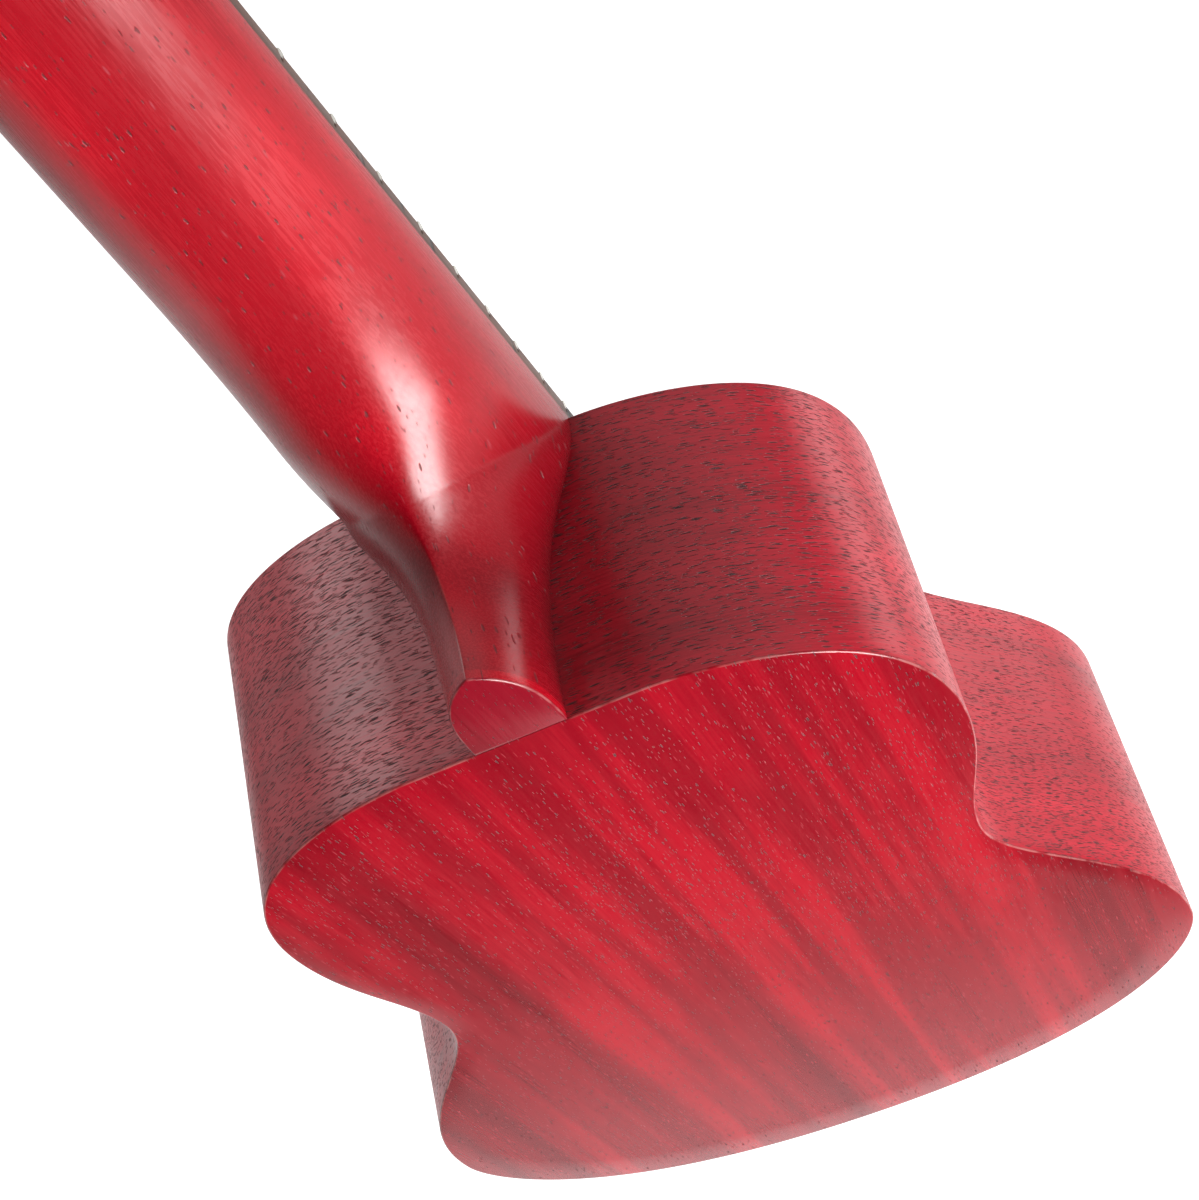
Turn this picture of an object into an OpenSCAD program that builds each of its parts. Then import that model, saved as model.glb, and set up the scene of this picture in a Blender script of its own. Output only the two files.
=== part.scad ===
// Soprano ukulele, upright: headstock up (+Z), soundboard facing -Y, back facing +Y.
// The origin is the bottom centre of the whole object, level with the lowest point of the tail.
// The modules are drawn from the soundboard's outer face at y = 0, and placed() centres them.

/* [Body] */
// Length of the body along its centre line
body_l = 232; // [225:1:245]
// Width across the lower bout
lower_w = 190; // [180:1:192]
// Width across the waist
waist_w = 124; // [118:1:128]
// Width across the upper bout
upper_w = 141; // [136:1:146]
// Depth of the body at the tail, plates included
tail_depth = 73; // [68:1:76]
// Depth of the body at the heel, plates included
heel_depth = 61; // [58:1:64]
// Thickness of the soundboard, the back and the ribs
plate_t = 2; // [1.6:0.1:2.4]
// Radius of the sound hole
hole_r = 25; // [22:0.5:27]

/* [Neck] */
// Open string length, from the nut to the saddle
scale_l = 345; // [340:1:350]
// Width of the fretboard at the nut
nut_w = 35; // [34:0.5:37]
// Width of the fretboard where the neck meets the body
joint_w = 46; // [45:0.5:47]
// Thickness of the fretboard
board_t = 3; // [2.5:0.1:3.5]
// Thickness of the neck's wood at the nut
shaft_t_nut = 13; // [12:0.5:15]
// Thickness of the neck's wood where the heel starts
shaft_t_heel = 17; // [15:0.5:18]
// Distance that the heel's cap stands out from the body
cap_l = 22; // [18:1:24]
// Width of the heel's cap at the body
cap_w = 18; // [17:0.5:20]
// Length of the headstock above the nut
head_l = 112; // [108:1:116]
// Thickness of the headstock
head_t = 12; // [11:0.5:13]

/* [Tuners] */
// Distance of each string post from the centre line
post_x = 14; // [13.5:0.25:14.5]
// Height above the nut's lower edge of the first pair of posts
post_z1 = 38; // [36:1:40]
// Height above the nut's lower edge of the second pair of posts
post_z2 = 78; // [76:1:80]

/* [Hidden] */

// colours
red_back = [0.62, 0.07, 0.10];
red_side = [0.48, 0.07, 0.10];
red_neck = [0.66, 0.05, 0.09];
pale_wood = [0.78, 0.62, 0.44];
dark_wood = [0.20, 0.11, 0.08];
steel = [0.75, 0.75, 0.77];
ivory = [0.93, 0.91, 0.86];

// body outline: heights of the widest and narrowest places, and the reach of its curves
lower_z = 58;
waist_z = 137;
upper_z = 186;
joint_flat = 22;
lining_w = 5;
lining_h = 6;
block_w = 50;
tail_block_t = 14;
neck_block_t = 30;
brace_w = 6;
brace_h = 8;
hole_z = 157;
back_tilt = atan((tail_depth - heel_depth) / body_l);
curve_steps = 13;

// fretboard, nut, bridge and strings
nut_z = body_l + scale_l / 2;
nut_t = 5;
nut_top = board_t + 2.4;
saddle_z = nut_z - scale_l;
fret_count = 15;
fret_gap = 4;
board_end = fret_z(fret_count) - fret_gap;
fret_w = 2;
fret_h = 0.9;
tang_w = 0.6;
tang_h = 1.7;
dot_r = 2.6;
dot_t = 0.8;
bridge_w = 70;
bridge_l = 17;
bridge_h = 6;
saddle_w = 54;
saddle_t = 2.6;
saddle_top = 8;
saddle_seat = 3;
string_r = [0.33, 0.47, 0.40, 0.33];
string_ids = ["g", "c", "e", "a"];
nut_pitch = 9;
saddle_pitch = 13.5;

// tuners
gear_teeth = 14;
plate_y = head_t + 1;
gear_y0 = head_t + 2.5;
gear_y1 = head_t + 5.5;
worm_y = (gear_y0 + gear_y1) / 2;
gear_tip_r = 5;
gear_root_r = 3.6;
gear_pitch_r = 4.3;
worm_mid_r = 2.1;
worm_lobe = 0.5;
worm_turns = 4;
worm_lead = 2 * PI * gear_pitch_r / gear_teeth;
worm_dz = 6.8;
shaft_r = 1.25;
ear_x = 5.2;
ear_t = 1.6;
ear_half = 2.6;
plate_half = 8;
post_r = 3;
post_top = 9.5;
tail_r = 2;
fit_gap = 0.05;
bushing_r = 4;
bushing_l = 8;
winding_y = -3.5;
button_x0 = 33;
button_l = 14;
button_w = 17;
button_t = 7;

function bez(p, t) = pow(1 - t, 3) * p[0] + 3 * pow(1 - t, 2) * t * p[1]
    + 3 * (1 - t) * t * t * p[2] + pow(t, 3) * p[3];
function bez_dir(p, t) = pow(1 - t, 2) * (p[1] - p[0]) + 2 * (1 - t) * t * (p[2] - p[1])
    + t * t * (p[3] - p[2]);
function lerp(a, b, t) = a + (b - a) * t;
function fret_z(n) = nut_z - scale_l * (1 - pow(2, -n / 12));
function board_half(z) = lerp(joint_w, nut_w, (z - body_l) / (nut_z - body_l)) / 2;
function back_y(z) = lerp(tail_depth, heel_depth, z / body_l);
function under_back(z) = back_y(z) - plate_t / cos(back_tilt);

// the outline's four curves on the +X side, from the tail to the neck: [x, z]
outline_curves = [
    [[0, 0], [74, 0], [lower_w / 2, lower_z - 17], [lower_w / 2, lower_z]],
    [[lower_w / 2, lower_z], [lower_w / 2, lower_z + 39], [waist_w / 2, waist_z - 21],
        [waist_w / 2, waist_z]],
    [[waist_w / 2, waist_z], [waist_w / 2, waist_z + 17], [upper_w / 2, upper_z - 22],
        [upper_w / 2, upper_z]],
    [[upper_w / 2, upper_z], [upper_w / 2, body_l - 4], [joint_flat + 7, body_l],
        [joint_flat, body_l]]
];

// a point of the outline moved inwards by inset
function inset_point(c, t, inset) =
    let (d = bez_dir(c, t), n = [d[1], -d[0]] / norm(d)) bez(c, t) - n * inset;
function half_outline(inset) = concat(
    [for (c = outline_curves, i = [0 : curve_steps - 1]) inset_point(c, i / curve_steps, inset)],
    [inset_point(outline_curves[3], 1, inset), [0, body_l - inset]]);
function mirrored(points) = [for (i = [len(points) - 1 : -1 : 0]) [-points[i][0], points[i][1]]];
function reversed(points) = [for (i = [len(points) - 1 : -1 : 0]) points[i]];
function trimmed(points) = [for (i = [1 : len(points) - 2]) points[i]];
function full_outline(inset) =
    concat(half_outline(inset), mirrored(trimmed(half_outline(inset))));
function strip_outline(outer, inner) =
    concat(half_outline(outer), reversed(half_outline(inner)));

// an XZ outline made solid between two depths
module slab(y0, y1) {
    translate([0, y1, 0])
        rotate([90, 0, 0])
            linear_extrude(height = y1 - y0) children();
}

// a round bar along +Y
module rod_y(r, y0, y1, fn = 40) {
    translate([0, y1, 0])
        rotate([90, 0, 0])
            cylinder(r = r, h = y1 - y0, $fn = fn);
}

// a round bar along +X
module rod_x(r, x0, x1, fn = 32) {
    translate([x0, 0, 0])
        rotate([0, 90, 0])
            cylinder(r = r, h = x1 - x0, $fn = fn);
}

// a [y, z] profile made solid between two values of x
module bar_x(x0, x1, profile) {
    translate([x0, 0, 0])
        rotate([0, 90, 0])
            linear_extrude(height = x1 - x0)
                polygon([for (p = profile) [-p[1], p[0]]]);
}

module box(low, high) {
    translate(low)
        cube(high - low);
}

// the layer between two depths under the sloping back
module back_layer(deep, shallow) {
    translate([0, tail_depth, 0])
        rotate([back_tilt, 0, 0])
            box([-150, -deep, -60], [150, -shallow, 330]);
}

module beyond_back(depth) {
    back_layer(depth, -60);
}

module side_strip(side, outer, inner, y0, y1) {
    mirror([side < 0 ? 1 : 0, 0, 0])
        slab(y0, y1)
            polygon(strip_outline(outer, inner));
}

module block_space() {
    box([-block_w / 2, -1, -1], [block_w / 2, 90, tail_block_t + plate_t]);
    box([-block_w / 2, -1, body_l - plate_t - neck_block_t], [block_w / 2, 90, body_l + 1]);
}

module back_plate() {
    color(red_back)
        intersection() {
            slab(heel_depth - 20, tail_depth + 10)
                polygon(full_outline(0));
            back_layer(plate_t, 0);
        }
}

module soundboard() {
    color(red_side)
        difference() {
            slab(0, plate_t)
                polygon(full_outline(0));
            translate([0, 0, hole_z])
                rod_y(hole_r, -1, plate_t + 1, 96);
        }
}

module rib(side) {
    color(red_side)
        difference() {
            side_strip(side, 0, plate_t, plate_t, tail_depth + 10);
            beyond_back(plate_t);
            dowel_holes();
        }
}

module top_lining(side) {
    color(pale_wood)
        difference() {
            side_strip(side, plate_t, plate_t + lining_w, plate_t, plate_t + lining_h);
            block_space();
        }
}

module back_lining(side) {
    color(pale_wood)
        difference() {
            intersection() {
                side_strip(side, plate_t, plate_t + lining_w, heel_depth - 30, tail_depth + 10);
                back_layer(plate_t + lining_h, plate_t);
            }
            block_space();
        }
}

// the space inside the ribs, from the soundboard to the back
module inside(inset) {
    difference() {
        slab(plate_t, tail_depth + 10)
            polygon(full_outline(inset));
        beyond_back(plate_t);
    }
}

module neck_block() {
    color(pale_wood)
        difference() {
            intersection() {
                inside(plate_t);
                box([-block_w / 2, 0, body_l - plate_t - neck_block_t], [block_w / 2, 90, body_l]);
            }
            dowel_holes();
        }
}

module tail_block() {
    color(pale_wood)
        intersection() {
            inside(plate_t);
            box([-block_w / 2, 0, 0], [block_w / 2, 90, tail_block_t + plate_t]);
        }
}

back_brace_z = [62, 120, 178];
module back_braces() {
    color(pale_wood)
        for (z = back_brace_z)
            intersection() {
                slab(heel_depth - 30, tail_depth)
                    polygon(full_outline(plate_t + lining_w));
                back_layer(plate_t + brace_h, plate_t);
                box([-100, 0, z - brace_w / 2], [100, 90, z + brace_w / 2]);
            }
}

soundboard_brace_z = [112, 191];
module soundboard_braces() {
    color(pale_wood)
        for (z = soundboard_brace_z)
            intersection() {
                slab(plate_t, plate_t + brace_h)
                    polygon(full_outline(plate_t + lining_w));
                box([-100, 0, z - brace_w / 2], [100, 90, z + brace_w / 2]);
            }
}

patch_half = 40;
patch_t = 2;
module bridge_patch() {
    color(pale_wood)
        box([-patch_half, plate_t, saddle_z - 15], [patch_half, plate_t + patch_t, saddle_z + 12]);
}

dowel_y = [16, 38];
dowel_r = 4;
dowel_in = 24;
dowel_out = 14;
module dowels(z0, z1) {
    for (y = dowel_y)
        translate([0, y, z0])
            cylinder(r = dowel_r, h = z1 - z0, $fn = 32);
}

module dowel_holes() {
    dowels(body_l - dowel_in, body_l + 1);
}

module neck_dowels() {
    color(pale_wood)
        dowels(body_l - dowel_in, body_l + dowel_out);
}

// The neck is a row of half-round sections. Each one lies on a line from a root, on the flat
// face under the fretboard or on the face against the body, to the spine of the neck's back.
// The lines stand upright along the shaft and fan round the corner through the heel.
heel_z = 308;
shaft_end_z = nut_z + 10;
spine_curve = [[shaft_t_heel, heel_z], [shaft_t_heel + 3, 270],
    [back_y(body_l) - 24, body_l + cap_l - 2], [under_back(body_l + cap_l), body_l + cap_l]];
shaft_sections = 5;
top_sections = 9;
joint_sections = 12;
ring_steps = 8;

// half the heel's width where it meets the body, narrowing towards the back
function heel_half(y) =
    let (foot = under_back(body_l), fall = 22, power = 2.3,
        wide = joint_w / 2, base = (cap_w / 2 - wide / (1 + pow(foot / fall, power)))
            / (1 - 1 / (1 + pow(foot / fall, power))))
    base + (wide - base) / (1 + pow(y / fall, power));

// sections: [root [y, z], spine [y, z], half width, how far the round back turns into a keel]
shaft_list = [for (i = [0 : shaft_sections - 1])
    let (z = lerp(shaft_end_z, heel_z, i / shaft_sections),
        t = lerp(shaft_t_nut - 1, shaft_t_heel, i / shaft_sections))
    [[0, z], [t, z], board_half(z), 0]];
top_list = [for (i = [0 : top_sections])
    let (z = lerp(heel_z, body_l, i / top_sections), s = 0.5 * i / top_sections)
    [[0, z], bez(spine_curve, s), board_half(z), 0]];
joint_list = [for (i = [1 : joint_sections])
    let (k = i / joint_sections, y = lerp(0, under_back(body_l), k))
    [[y, body_l], bez(spine_curve, 0.5 + 0.5 * k), heel_half(y), k * k * (3 - 2 * k)]];
neck_sections = concat(shaft_list, top_list, joint_list);

// the share of the half width that is left at the share u of the way from root to spine
round_shape = [2.1, 0.48];
keel_shape = [3, 0.8];
function taper(u, k) = let (e = lerp(round_shape, keel_shape, k)) pow(max(0, 1 - pow(u, e[0])), e[1]);
function neck_ring(s) = [for (i = [-ring_steps : ring_steps])
    let (u = sin(90 - 90 * abs(i) / ring_steps), p = lerp(s[0], s[1], u))
    [s[2] * sign(-i) * taper(u, s[3]), p[0], p[1]]];

module neck_loft() {
    n = 2 * ring_steps + 1;
    rows = len(neck_sections);
    polyhedron(
        points = [for (s = neck_sections, p = neck_ring(s)) p],
        faces = concat(
            [for (j = [0 : rows - 2], i = [0 : n - 2], half = [0, 1])
                let (a = j * n + i, b = a + n)
                half == 0 ? [a, a + 1, b] : [a + 1, b + 1, b]],
            [for (j = [0 : rows - 2], half = [0, 1])
                let (a = j * n, b = a + n)
                half == 0 ? [a, b, a + n - 1] : [a + n - 1, b, b + n - 1]],
            [[for (i = [n - 1 : -1 : 0]) i]],
            [[for (i = [0 : n - 1]) (rows - 1) * n + i]]));
}

// the headstock's outline on the +X side, from the nut to the crown: [x, z]
head_side = [[nut_w / 2, nut_z + 3], [nut_w / 2, nut_z + 13], [27, nut_z + 15], [27.5, nut_z + 28]];
head_top = [[29.5, nut_z + head_l - 12], [29.5, nut_z + head_l - 5], [12, nut_z + head_l - 4],
    [0, nut_z + head_l]];
head_half = concat([for (i = [0 : 8]) bez(head_side, i / 8)], [for (i = [0 : 8]) bez(head_top, i / 8)]);

function post_z(t) = nut_z + (t == 0 || t == 3 ? post_z1 : post_z2);
function post_side(t) = t < 2 ? -1 : 1;

// puts a tuner's pieces, drawn round a post at x = 0 and z = 0, in their place
module at_tuner(t) {
    translate([post_side(t) * post_x, 0, post_z(t)])
        children();
}

screw_dz = [-7.5, 12];
screw_r = 0.9;
screw_l = 7;
module neck() {
    color(red_neck)
        difference() {
            union() {
                neck_loft();
                slab(0, head_t)
                    polygon(concat(head_half, mirrored(head_half)));
            }
            dowels(body_l - 1, body_l + dowel_out);
            for (t = [0 : 3])
                at_tuner(t) {
                    rod_y(bushing_r, -1, bushing_l);
                    rod_y(post_r + 0.3, bushing_l - 1, head_t + 1);
                    for (dz = screw_dz)
                        translate([0, 0, dz])
                            rod_y(screw_r, head_t - screw_l, head_t + 1, 20);
                }
        }
}

function cap_half(z) = cap_w / 2 * taper((z - body_l) / cap_l, 1);
cap_points = [for (i = [0 : 16]) let (z = body_l + cap_l * sin(90 * i / 16)) [cap_half(z), z]];
module heel_cap() {
    color(red_back)
        intersection() {
            slab(heel_depth - 10, heel_depth + 5)
                polygon(concat(cap_points, mirrored([for (i = [0 : 15]) cap_points[i]])));
            back_layer(plate_t, 0);
        }
}

module fretboard() {
    half = [[board_half(board_end), board_end], [nut_w / 2, nut_z]];
    color(dark_wood)
        difference() {
            slab(-board_t, 0)
                polygon(concat(half, mirrored(half)));
            for (n = [1 : fret_count])
                box([-40, -board_t - 1, fret_z(n) - tang_w / 2],
                    [40, -board_t + tang_h, fret_z(n) + tang_w / 2]);
            at_dots()
                rod_y(dot_r, -board_t - 1, -board_t + dot_t, 32);
        }
}

// a fret is a crown on a tang that is pressed into its slot: [y, z]
function fret_profile(z) = concat(
    [[-board_t + tang_h, z - tang_w / 2], [-board_t, z - tang_w / 2]],
    [for (a = [0 : 30 : 180]) [-board_t - fret_h * sin(a), z - fret_w / 2 * cos(a)]],
    [[-board_t, z + tang_w / 2], [-board_t + tang_h, z + tang_w / 2]]);
module frets() {
    color(steel)
        for (n = [1 : fret_count])
            bar_x(-board_half(fret_z(n)), board_half(fret_z(n)), fret_profile(fret_z(n)));
}

dot_list = [[5, 0], [7, 0], [10, 0], [12, -9], [12, 9], [15, 0]];
module at_dots() {
    for (d = dot_list)
        translate([d[1], 0, (fret_z(d[0]) + fret_z(d[0] - 1)) / 2])
            children();
}

module position_dots() {
    color(ivory)
        at_dots()
            rod_y(dot_r, -board_t, -board_t + dot_t, 32);
}

function nut_x(t) = (t - 1.5) * nut_pitch;
function saddle_x(t) = (t - 1.5) * saddle_pitch;
nut_string_y = -nut_top + 0.4;
saddle_string_y = -saddle_top - 0.6;

module nut() {
    color(ivory)
        difference() {
            box([-nut_w / 2, -nut_top, nut_z], [nut_w / 2, 0, nut_z + nut_t]);
            for (t = [0 : 3])
                box([nut_x(t) - 0.75, -nut_top - 1, nut_z - 1],
                    [nut_x(t) + 0.75, nut_string_y + 0.55, nut_z + nut_t + 1]);
        }
}

bridge_z0 = saddle_z - 9;
slot_half = 0.8;
slot_l = 6.5;
module bridge() {
    color(dark_wood)
        difference() {
            bar_x(-bridge_w / 2, bridge_w / 2, [[0, bridge_z0], [-4.5, bridge_z0],
                [-bridge_h, bridge_z0 + 2.5], [-bridge_h, bridge_z0 + bridge_l - 4],
                [-2.5, bridge_z0 + bridge_l], [0, bridge_z0 + bridge_l]]);
            box([-saddle_w / 2, -bridge_h - 1, saddle_z - saddle_t / 2],
                [saddle_w / 2, -saddle_seat, saddle_z + saddle_t / 2]);
            for (t = [0 : 3])
                box([saddle_x(t) - slot_half, -bridge_h - 1, bridge_z0 - 1],
                    [saddle_x(t) + slot_half, -3, bridge_z0 + slot_l]);
        }
}

// the saddle's crown is narrow, and slopes steeply down on the side of the knots
saddle_crown = 0.4;
module saddle() {
    color(ivory)
        bar_x(-saddle_w / 2, saddle_w / 2, [
            [-saddle_seat, saddle_z - saddle_t / 2], [1.2 - saddle_top, saddle_z - saddle_t / 2],
            [-saddle_top, saddle_z - saddle_crown], [-saddle_top, saddle_z + saddle_crown],
            [0.6 - saddle_top, saddle_z + saddle_t / 2], [-saddle_seat, saddle_z + saddle_t / 2]]);
}

winding_in = post_r + 0.02;
function wind_r(t) = winding_in + 2 * string_r[t];

// the string's route: knot behind the bridge, slot, saddle, nut and winding
function string_route(t) = [
    [saddle_x(t), -4.1, bridge_z0 - 1],
    [saddle_x(t), -4.3, bridge_z0 + 3],
    [saddle_x(t), saddle_string_y, saddle_z],
    [nut_x(t), nut_string_y, nut_z + nut_t / 2],
    [post_side(t) * (post_x - wind_r(t) - string_r[t] - 0.3), winding_y, post_z(t)]];

// a tube through the points of a route
module tube(route, r, sides = 8) {
    rows = len(route);
    dirs = [for (i = [0 : rows - 1])
        let (a = route[max(i - 1, 0)], b = route[min(i + 1, rows - 1)]) (b - a) / norm(b - a)];
    polyhedron(
        points = [for (i = [0 : rows - 1], k = [0 : sides - 1])
            let (u = cross([1, 0, 0], dirs[i]) / norm(cross([1, 0, 0], dirs[i])),
                v = cross(dirs[i], u), a = 360 * k / sides)
            route[i] + r * (u * cos(a) + v * sin(a))],
        faces = concat(
            [for (i = [0 : rows - 2], k = [0 : sides - 1], half = [0, 1])
                let (a = i * sides + k, b = i * sides + (k + 1) % sides)
                half == 0 ? [a, b + sides, b] : [a, a + sides, b + sides]],
            [[for (k = [0 : sides - 1]) k]],
            [[for (k = [sides - 1 : -1 : 0]) (rows - 1) * sides + k]]));
}

knot_r = 1.3;
module string(t) {
    color(ivory) {
        tube(string_route(t), string_r[t]);
        translate([saddle_x(t), -4.1, bridge_z0 - 1.6])
            sphere(r = knot_r, $fn = 24);
    }
}

module tuner_plates() {
    color(steel)
        for (t = [0 : 3])
            at_tuner(t)
                difference() {
                    union() {
                        box([-plate_half, head_t, -10.5], [plate_half, plate_y, 15]);
                        for (x = [-ear_x - ear_t, ear_x])
                            box([x, plate_y, worm_dz - ear_half],
                                [x + ear_t, worm_y + ear_half, worm_dz + ear_half]);
                    }
                    rod_y(post_r + fit_gap, 0, plate_y + 1);
                    translate([0, worm_y, worm_dz])
                        rod_x(shaft_r + fit_gap, -12, 12);
                    for (dz = screw_dz)
                        translate([0, 0, dz])
                            rod_y(screw_r, 0, plate_y + 1, 20);
                }
}

module tuner_screws() {
    color(steel)
        for (t = [0 : 3])
            at_tuner(t)
                for (dz = screw_dz)
                    translate([0, 0, dz]) {
                        rod_y(screw_r, head_t - screw_l, plate_y, 20);
                        rod_y(2 * screw_r, plate_y, plate_y + 1.1, 28);
                    }
}

module post_bushings() {
    color(steel)
        for (t = [0 : 3])
            at_tuner(t)
                difference() {
                    union() {
                        rod_y(bushing_r, 0, bushing_l);
                        rod_y(bushing_r + 1.2, -1.4, 0);
                    }
                    rod_y(post_r + fit_gap, -3, bushing_l + 1);
                }
}

module post(t) {
    color(steel)
        at_tuner(t)
            difference() {
                union() {
                    rod_y(post_r, -post_top, gear_y0);
                    rod_y(tail_r, gear_y0 - 0.5, gear_y1);
                }
                translate([0, winding_y - 2.6, 0])
                    rod_x(0.7, -5, 5, 20);
                rod_y(1, gear_y1 - 5, gear_y1 + 1, 24);
            }
}

// the gear's outline, with a gap facing +Z: [x, z]
tooth_a = 360 / gear_teeth;
gear_points = [for (i = [0 : gear_teeth - 1], c = [[-0.30, 0], [-0.11, 1], [0.11, 1], [0.30, 0]])
    let (a = 90 + tooth_a * (i + 0.5 + c[0]), r = lerp(gear_root_r, gear_tip_r, c[1]))
    r * [cos(a), sin(a)]];
module gear(t) {
    color(steel)
        at_tuner(t)
            difference() {
                slab(gear_y0, gear_y1)
                    polygon(gear_points);
                rod_y(tail_r, gear_y0 - 1, gear_y1 + 1);
            }
}

module gear_screw(t) {
    color(steel)
        at_tuner(t)
            difference() {
                union() {
                    rod_y(1, gear_y1 - 5, gear_y1, 24);
                    rod_y(2.6, gear_y1, gear_y1 + 1.3, 32);
                }
                box([-3, gear_y1 + 0.8, -0.35], [3, gear_y1 + 2, 0.35]);
            }
}

// the turns of string on a post, as one ring with a ridge for each turn: [r, y]
winding_turns = 3;
function winding_profile(t) =
    let (r = string_r[t], n = winding_turns)
    concat([[winding_in, n * r], [winding_in, -n * r]],
        [for (k = [0 : n - 1], a = [-60 : 60 : 60])
            [winding_in + r + r * cos(a), (2 * k + 1 - n) * r + r * sin(a)]]);
module winding(t) {
    color(ivory)
        at_tuner(t)
            translate([0, winding_y, 0])
                rotate([-90, 0, 0])
                    rotate_extrude($fn = 48)
                        polygon(winding_profile(t));
}

module worm(t) {
    side = post_side(t);
    shaft_in = -(ear_x + ear_t + 1);
    shaft_out = button_x0 - post_x + button_l - 1;
    worm_l = worm_turns * worm_lead;
    color(steel)
        at_tuner(t)
            translate([0, worm_y, worm_dz])
                difference() {
                    union() {
                        rod_x(shaft_r, side > 0 ? shaft_in : -shaft_out, side > 0 ? shaft_out : -shaft_in);
                        rotate([0, 90, 0])
                            linear_extrude(height = worm_l, twist = -360 * worm_turns,
                                slices = 14 * worm_turns, center = true)
                                translate([worm_lobe, 0])
                                    circle(r = worm_mid_r, $fn = 16);
                    }
                    rod_x(0.7, side > 0 ? shaft_out - 5 : -shaft_out - 1,
                        side > 0 ? shaft_out + 1 : -shaft_out + 5, 20);
                }
}

// a button's outline, a rounded lobe on a short neck: [x, z]
function button_points() =
    [for (a = [0 : 15 : 345])
        [button_x0 + button_l * (0.5 + 0.5 * sign(cos(a)) * pow(abs(cos(a)), 0.8)),
            button_w / 2 * sin(a)]];
module button(t) {
    color(ivory)
        translate([0, 0, post_z(t) + worm_dz])
            mirror([post_side(t) < 0 ? 1 : 0, 0, 0])
                difference() {
                    slab(worm_y - button_t / 2, worm_y + button_t / 2)
                        polygon(button_points());
                    translate([0, worm_y, 0])
                        rod_x(shaft_r, button_x0 - 1, button_x0 + button_l - 1);
                    translate([0, worm_y, 0])
                        rod_x(0.7, button_x0, button_x0 + button_l + 1, 20);
                }
}

module button_screw(t) {
    end = button_x0 + button_l;
    color(steel)
        translate([0, worm_y, post_z(t) + worm_dz])
            mirror([post_side(t) < 0 ? 1 : 0, 0, 0]) {
                rod_x(0.7, end - 6, end, 20);
                rod_x(1.7, end, end + 1.1, 28);
            }
}

// moves a piece from the soundboard's frame to the object's own
module placed() {
    translate([0, (post_top - tail_depth) / 2, 0])
        children();
}

placed() back_plate();
placed() soundboard();
placed() rib(-1);  // rib_left
placed() rib(1);  // rib_right
placed() neck_block();
placed() tail_block();
placed() top_lining(-1);  // top_lining_left
placed() top_lining(1);  // top_lining_right
placed() back_lining(-1);  // back_lining_left
placed() back_lining(1);  // back_lining_right
placed() back_braces();
placed() soundboard_braces();
placed() bridge_patch();
placed() neck();
placed() neck_dowels();
placed() heel_cap();
placed() fretboard();
placed() frets();
placed() position_dots();
placed() nut();
placed() bridge();
placed() saddle();
placed() tuner_plates();
placed() tuner_screws();
placed() post_bushings();
for (t = [0 : 3]) {
    placed() string(t);
    placed() post(t);
    placed() gear(t);
    placed() gear_screw(t);
    placed() winding(t);
    placed() worm(t);
    placed() button(t);
    placed() button_screw(t);
}
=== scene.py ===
from math import atan, cos, exp, hypot, pi, radians, sin

import bmesh
import bpy
from mathutils import Matrix, Vector


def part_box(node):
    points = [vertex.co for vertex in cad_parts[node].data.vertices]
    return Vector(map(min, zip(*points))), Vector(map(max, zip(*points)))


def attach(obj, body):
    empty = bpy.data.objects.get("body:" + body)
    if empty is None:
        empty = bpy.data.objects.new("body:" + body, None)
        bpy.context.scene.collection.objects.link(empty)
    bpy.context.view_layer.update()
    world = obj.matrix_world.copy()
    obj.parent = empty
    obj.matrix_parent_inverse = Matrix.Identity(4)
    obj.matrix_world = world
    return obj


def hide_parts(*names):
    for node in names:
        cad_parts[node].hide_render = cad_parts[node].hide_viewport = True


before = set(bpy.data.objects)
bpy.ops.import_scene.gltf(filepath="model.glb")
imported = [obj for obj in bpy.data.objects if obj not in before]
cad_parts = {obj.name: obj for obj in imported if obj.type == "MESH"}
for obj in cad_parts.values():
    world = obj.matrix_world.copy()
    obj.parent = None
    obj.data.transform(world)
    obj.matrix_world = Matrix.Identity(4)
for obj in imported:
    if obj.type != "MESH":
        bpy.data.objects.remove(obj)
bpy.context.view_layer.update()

# ---------------------------------------------------------------- studio
# A pale floor below the hanging instrument, a wide white backdrop and soft boxes round it.
# The camera looks down on the back from the headstock's end.
scene = bpy.context.scene
scene.view_settings.view_transform = "Standard"

camera_data = bpy.data.cameras.new("camera")
camera_data.lens = 59.24
camera_data.sensor_width = 36
camera_data.clip_start = 0.01


def shown(name, data):
    """An object in the scene that shows some data."""
    thing = bpy.data.objects.new(name, data)
    scene.collection.objects.link(thing)
    return thing


camera = shown("camera", camera_data)
camera.location = (-0.09218, 0.19708, 0.51794)
camera.rotation_euler = [radians(a) for a in (28.4115, 21.6757, 166.7024)]
scene.camera = camera


def put(tree, kind, settings=None, **inputs):
    """Adds a node; a value that is a socket is linked, and any other value is set."""
    node = tree.nodes.new(kind)
    for name, value in (settings or {}).items():
        setattr(node, name, value)
    for name, value in inputs.items():
        key = int(name[1:]) if name[0] == "_" and name[1:].isdigit() else name.replace("_", " ")
        socket = node.inputs[key]
        if isinstance(value, bpy.types.NodeSocket):
            tree.links.new(value, socket)
        else:
            socket.default_value = value
    return node


def get(tree, kind, settings=None, **inputs):
    """Adds a node as put does, and gives its first output."""
    return put(tree, kind, settings, **inputs).outputs[0]


def maths(tree, operation, a, b):
    return get(tree, "ShaderNodeMath", {"operation": operation}, _0=a, _1=b)


def times(tree, a, b):
    return maths(tree, "MULTIPLY", a, b)


def plus(tree, a, b):
    return maths(tree, "ADD", a, b)


def minus(tree, a, b):
    return maths(tree, "SUBTRACT", a, b)


def vector(tree, x, y, z):
    return get(tree, "ShaderNodeCombineXYZ", X=x, Y=y, Z=z)


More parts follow.
